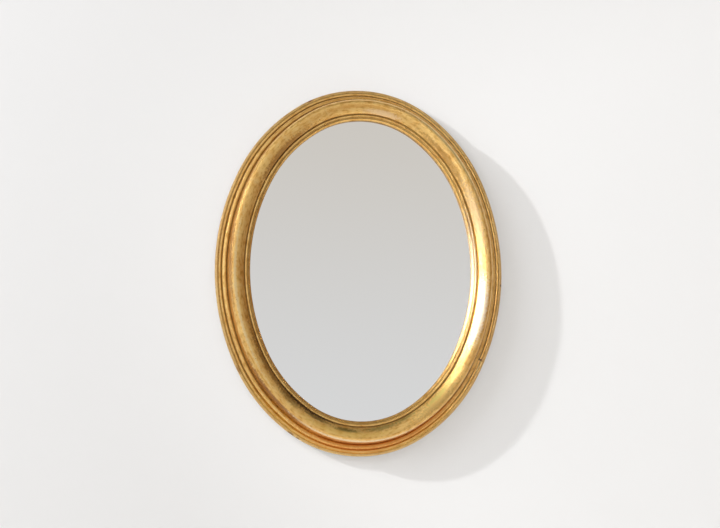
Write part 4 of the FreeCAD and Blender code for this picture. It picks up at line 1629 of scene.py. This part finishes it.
@dataclass
class Studio:
    """The wall, floor, lights and camera, none of which belongs to the mirror."""

    camera_azimuth: float = -10.4
    camera_elevation: float = -9.9
    camera_roll: float = 1.57
    camera_distance: float = 5.0
    metres_per_pixel: float = 0.0013455
    aim: Vector = field(default_factory=lambda: Vector((0.0, -0.020, 0.0)))
    aim_pixel: tuple[float, float] = (360.17, 271.2)
    picture: tuple[int, int] = (720, 528)
    sensor_width: float = 36.0
    far_end: float = 60.0
    wall_span: float = 9.0
    floor_height: float = -1.5
    wall_paint: str = "#ECEDEE"
    wall_light: str = "#FFFFFF"
    floor_paint: str = "#E4E0DA"
    floor_light: str = "#FFF6EA"
    paint_roughness: float = 0.9
    paint_specular: float = 0.2
    sharp_degrees: float = 30.0
    backdrop: str = "#EFEFED"
    room_left: str = "#DDDEDF"
    room_right: str = "#9C8872"
    ceiling: str = "#B9B5AC"
    upper: str = "#EFE7DB"
    room_turn: tuple[float, float] = (0.22, 0.9)
    upper_band: tuple[float, float] = (0.11, 0.25)
    ceiling_band: tuple[float, float] = (0.3, 0.95)
    glows: tuple[Glow, ...] = (
        Glow(-46.0, 10.0, 12.0, 50.0, "#FCFCFF", 0.42),
    )
    window_azimuths: tuple[float, ...] = (-15.0, -24.0, -33.0, -42.0, -51.0, -60.0, -69.0, -78.0)
    window_elevations: tuple[float, ...] = (16.0, 24.0)
    window_upper_from: float = -35.0
    window_distance: float = 3.2
    window_radius: float = 0.05
    window_turn: tuple[float, float] = (9.5, 2.2)
    window_cone: float = 20.0
    window_blend: float = 0.3
    window_power: float = 27.0
    fill_bearing: tuple[float, float] = (-60.0, 20.0)
    fill_distance: float = 2.8
    fill_side: float = 1.5
    fill_power: float = 48.0
    fill_tint: str = "#F6F9FF"
    sun_bearing: tuple[float, float] = (-70.0, 21.0)
    sun_distance: float = 6.0
    sun_radius: float = 0.09
    sun_turn: tuple[float, float] = (12.0, 0.0)
    sun_cone: float = 24.0
    sun_blend: float = 0.12
    sun_power: float = 1300.0
    wall_glow: float = 0.36
    floor_glow: float = 0.3
    patch_bearing: tuple[float, float] = (6.0, -56.0)
    patch_inner: float = 0.3
    patch_outer: float = 0.95
    patch_glow: float = 1.0

    @staticmethod
    def direction(azimuth: float, elevation: float) -> Vector:
        """The way from the mirror at an azimuth and an elevation.

        Args:
            azimuth: the angle to the right of straight ahead, in degrees.
            elevation: the angle above level, in degrees.

        Returns:
            The way, one metre long.
        """
        turn, rise = math.radians(azimuth), math.radians(elevation)
        return Vector((math.sin(turn) * math.cos(rise), -math.cos(turn) * math.cos(rise),
                       math.sin(rise)))

    def build(self) -> None:
        """Sets up the camera, the wall and floor, the lamps and the room."""
        self.place_camera()
        self.build_stage()
        self.build_lamps()
        self.build_room()
        bpy.context.scene.view_settings.view_transform = "Standard"

    def place_camera(self) -> None:
        """Stands the camera where the photograph was taken from, with a long lens."""
        back = self.direction(self.camera_azimuth, self.camera_elevation)
        level = Vector((0, 0, 1)).cross(back).normalized()
        turned = back.cross(level)
        roll = math.radians(self.camera_roll)
        right = level * math.cos(roll) + turned * math.sin(roll)
        up = turned * math.cos(roll) - level * math.sin(roll)
        width, height = self.picture
        offset = (right * (width / 2 - self.aim_pixel[0]) + up * (self.aim_pixel[1] - height / 2))
        target = self.aim + offset * self.metres_per_pixel
        data = bpy.data.cameras.new("camera")
        data.sensor_width = self.sensor_width
        data.lens = data.sensor_width * self.camera_distance / (width * self.metres_per_pixel)
        camera = bpy.data.objects.new("camera", data)
        camera.matrix_world = Matrix.Translation(target + back * self.camera_distance) @ Matrix(
            (right, up, back)).transposed().to_4x4()
        data.clip_end = self.far_end
        bpy.context.scene.collection.objects.link(camera)
        bpy.context.scene.camera = camera

    def one_sided(self, name: str, colour: str, glow: float, light: str,
                  patch: float = 0.0) -> bpy.types.Material:
        """A matt paint that can't be seen, and casts no shadow, from behind.

        Args:
            name: the material's name.
            colour: its sRGB hex colour.
            glow: the share of light in what the camera, a mirror or a metal sees of it.
            light: the sRGB hex colour of that light.
            patch: that share in a patch of sunlight on the floor, which only metal sees.

        Returns:
            The material.
        """
        material, tree = new_material(name)
        path = add(tree, "LightPath").node.outputs
        seen = add(tree, "Math", path["Is Camera Ray"], path["Is Glossy Ray"], operation="ADD",
                   use_clamp=True)
        lift = add(tree, "Math", seen, glow, operation="MULTIPLY")
        if patch:
            lit = add(tree, "Math", self.sunlit(tree, patch), path["Is Glossy Ray"],
                      operation="MULTIPLY")
            lift = add(tree, "Math", lift, lit, operation="MAXIMUM")
        matt = add(tree, "BsdfPrincipled", named={
            "Base Color": linear(colour), "Roughness": self.paint_roughness,
            "Specular IOR Level": self.paint_specular})
        paint = add(tree, "MixShader", lift, matt, add(tree, "Emission", linear(light), 1.0))
        behind = add(tree, "NewGeometry", give="Backfacing")
        clear = add(tree, "Math", behind, path["Transparent Depth"], operation="ADD",
                    use_clamp=True)
        add(tree, "OutputMaterial",
            add(tree, "MixShader", clear, paint, add(tree, "BsdfTransparent")))
        return material

    def sunlit(self, tree: Tree, share: float) -> Socket:
        """How much of a share of light lies at a place of the floor: a round patch of sun.

        Args:
            tree: the material's tree.
            share: the light's share in the middle of the patch.

        Returns:
            The share at a place.
        """
        way = self.direction(*self.patch_bearing)
        spot = way * (self.floor_height / way.z)
        off = add(tree, "VectorMath", add(tree, "TexCoord", give="Object"), spot,
                  operation="DISTANCE")
        return add(tree, "MapRange", off, self.patch_outer, self.patch_inner, 0.0, share, **SMOOTH)

    def build_stage(self) -> None:
        """Hangs the wall right behind the mirror and lays the floor well below it."""
        wall = bmesh.new()
        bmesh.ops.create_grid(wall, x_segments=1, y_segments=1, size=self.wall_span)
        bmesh.ops.rotate(wall, verts=wall.verts[:], matrix=Matrix.Rotation(math.pi / 2, 3, "X"))
        made = finish_mesh(wall, "stage_wall", self.sharp_degrees, [self.one_sided(
            "white_wall_paint", self.wall_paint, self.wall_glow, self.wall_light)])
        floor = bmesh.new()
        bmesh.ops.create_grid(floor, x_segments=1, y_segments=1, size=self.wall_span,
                              matrix=Matrix.Translation((0, -self.wall_span, self.floor_height)))
        made = finish_mesh(floor, "stage_floor", self.sharp_degrees, [self.one_sided(
            "pale_floor", self.floor_paint, self.floor_glow, self.floor_light, self.patch_glow)])

    def stand_lamp(self, data: bpy.types.Light, bearing: tuple[float, float], distance: float,
                   turned: tuple[float, float] = (0.0, 0.0)) -> bpy.types.Object:
        """Stands a lamp on a bearing from the mirror and turns it there, or past it.

        Args:
            data: the lamp.
            bearing: its azimuth and elevation as seen from the mirror, in degrees.
            distance: how far off it stands, in metres.
            turned: how far to the mirror's right and above it it faces, in degrees.

        Returns:
            The lamp's object.
        """
        made = bpy.data.objects.new(data.name, data)
        way = self.direction(*bearing)
        facing = -self.direction(bearing[0] - turned[0], bearing[1] - turned[1])
        made.matrix_world = Matrix.Translation(way * distance) @ facing.to_track_quat(
            "-Z", "Y").to_matrix().to_4x4()
        bpy.context.scene.collection.objects.link(made)
        return made

    @staticmethod
    def spot(name: str, radius: float, cone: float, blend: float,
             power: float) -> bpy.types.Light:
        """Makes a spot lamp.

        Args:
            name: its name.
            radius: its size, in metres.
            cone: the angle of its cone, in degrees.
            blend: the share of the cone over which it fades.
            power: its power, in watts.

        Returns:
            The lamp.
        """
        lamp = bpy.data.lights.new(name, "SPOT")
        lamp.shadow_soft_size = radius
        lamp.spot_size = math.radians(cone)
        lamp.spot_blend = blend
        lamp.energy = power
        return lamp

    def build_lamps(self) -> None:
        """Rows of small lamps that only metal and glass show, and two that light what is matt."""
        window = self.spot("window", self.window_radius, self.window_cone, self.window_blend,
                           self.window_power)
        for azimuth in self.window_azimuths:
            both = azimuth < self.window_upper_from
            for elevation in self.window_elevations if both else self.window_elevations[:1]:
                pane = self.stand_lamp(window, (azimuth, elevation), self.window_distance,
                                       self.window_turn)
                pane.visible_diffuse = False
        fill = bpy.data.lights.new("fill", "AREA")
        fill.shape = "SQUARE"
        fill.size = self.fill_side
        fill.energy = self.fill_power
        fill.color = linear(self.fill_tint)[:3]
        self.stand_lamp(fill, self.fill_bearing, self.fill_distance).visible_glossy = False
        sun = self.spot("low_sun", self.sun_radius, self.sun_cone, self.sun_blend, self.sun_power)
        low = self.stand_lamp(sun, self.sun_bearing, self.sun_distance, self.sun_turn)
        low.visible_glossy = False

    def build_room(self) -> None:
        """Lights the room all round, by direction, and shows the camera a plain backdrop."""
        world = bpy.context.scene.world or bpy.data.worlds.new("studio")
        bpy.context.scene.world = world
        world.use_nodes = True
        tree = world.node_tree
        tree.nodes.clear()
        way = add(tree, "TexCoord", give="Generated")
        x, _, z = add(tree, "SeparateXYZ", way).node.outputs
        share = add(tree, "MapRange", x, *self.room_turn, **SMOOTH)
        room = add(tree, "Mix", share, linear(self.room_left), linear(self.room_right), **COLOUR)
        for band, tint in ((self.upper_band, self.upper), (self.ceiling_band, self.ceiling)):
            tinted = add(tree, "Mix", 1.0, room, linear(tint), **COLOUR, blend_type="MULTIPLY")
            share = add(tree, "MapRange", z, *band, **SMOOTH)
            room = add(tree, "Mix", share, room, tinted, **COLOUR)
        for glow in self.glows:
            centre = self.direction(glow.azimuth, glow.elevation)
            facing = add(tree, "VectorMath", way, centre, operation="DOT_PRODUCT")
            outer, inner = (math.cos(math.radians(edge)) for edge in (glow.outer, glow.inner))
            share = add(tree, "MapRange", facing, outer, inner, 0.0, glow.strength, **SMOOTH)
            lit = add(tree, "VectorMath", linear(glow.colour)[:3], share, operation="SCALE")
            room = add(tree, "VectorMath", room, lit, operation="ADD")
        lights = add(tree, "Background", room, 1.0)
        backdrop = add(tree, "Background", linear(self.backdrop), 1.0)
        seen = add(tree, "LightPath", give="Is Camera Ray")
        add(tree, "OutputWorld", add(tree, "MixShader", seen, lights, backdrop))


def main() -> None:
    """Builds and dresses every piece, then sets up the studio."""
    logging.basicConfig(level=logging.INFO, format="%(message)s")
    oval = Oval()
    Frame(oval).build(GoldLeaf(oval).material(), BareWood(True).material(),
                      BareWood(False).material())
    dress(SilveredGlass().material(), "mirror_glass")
    dress(Hardboard().material(), "back_panel")
    dress(SmallWood("sawn_pine_block", "#D9B57C", "#B5813F", 2.2, 0.6).material(), "glass_block")
    dress(SmallWood("turned_beech_pin", "#D3AC7F", "#B98A5B", 1.2, 0.5).material(), "dowel")
    dress(ZincSteel("zinc_plated_turned_screw", roughness=0.24).material(), "button_screw",
          "hanger_screw")
    Hardware(oval).build(ZincSteel("zinc_plated_sheet_and_wire").material(),
                         SoftRubber().material())
    Studio().build()


if __name__ == "__main__":
    main()
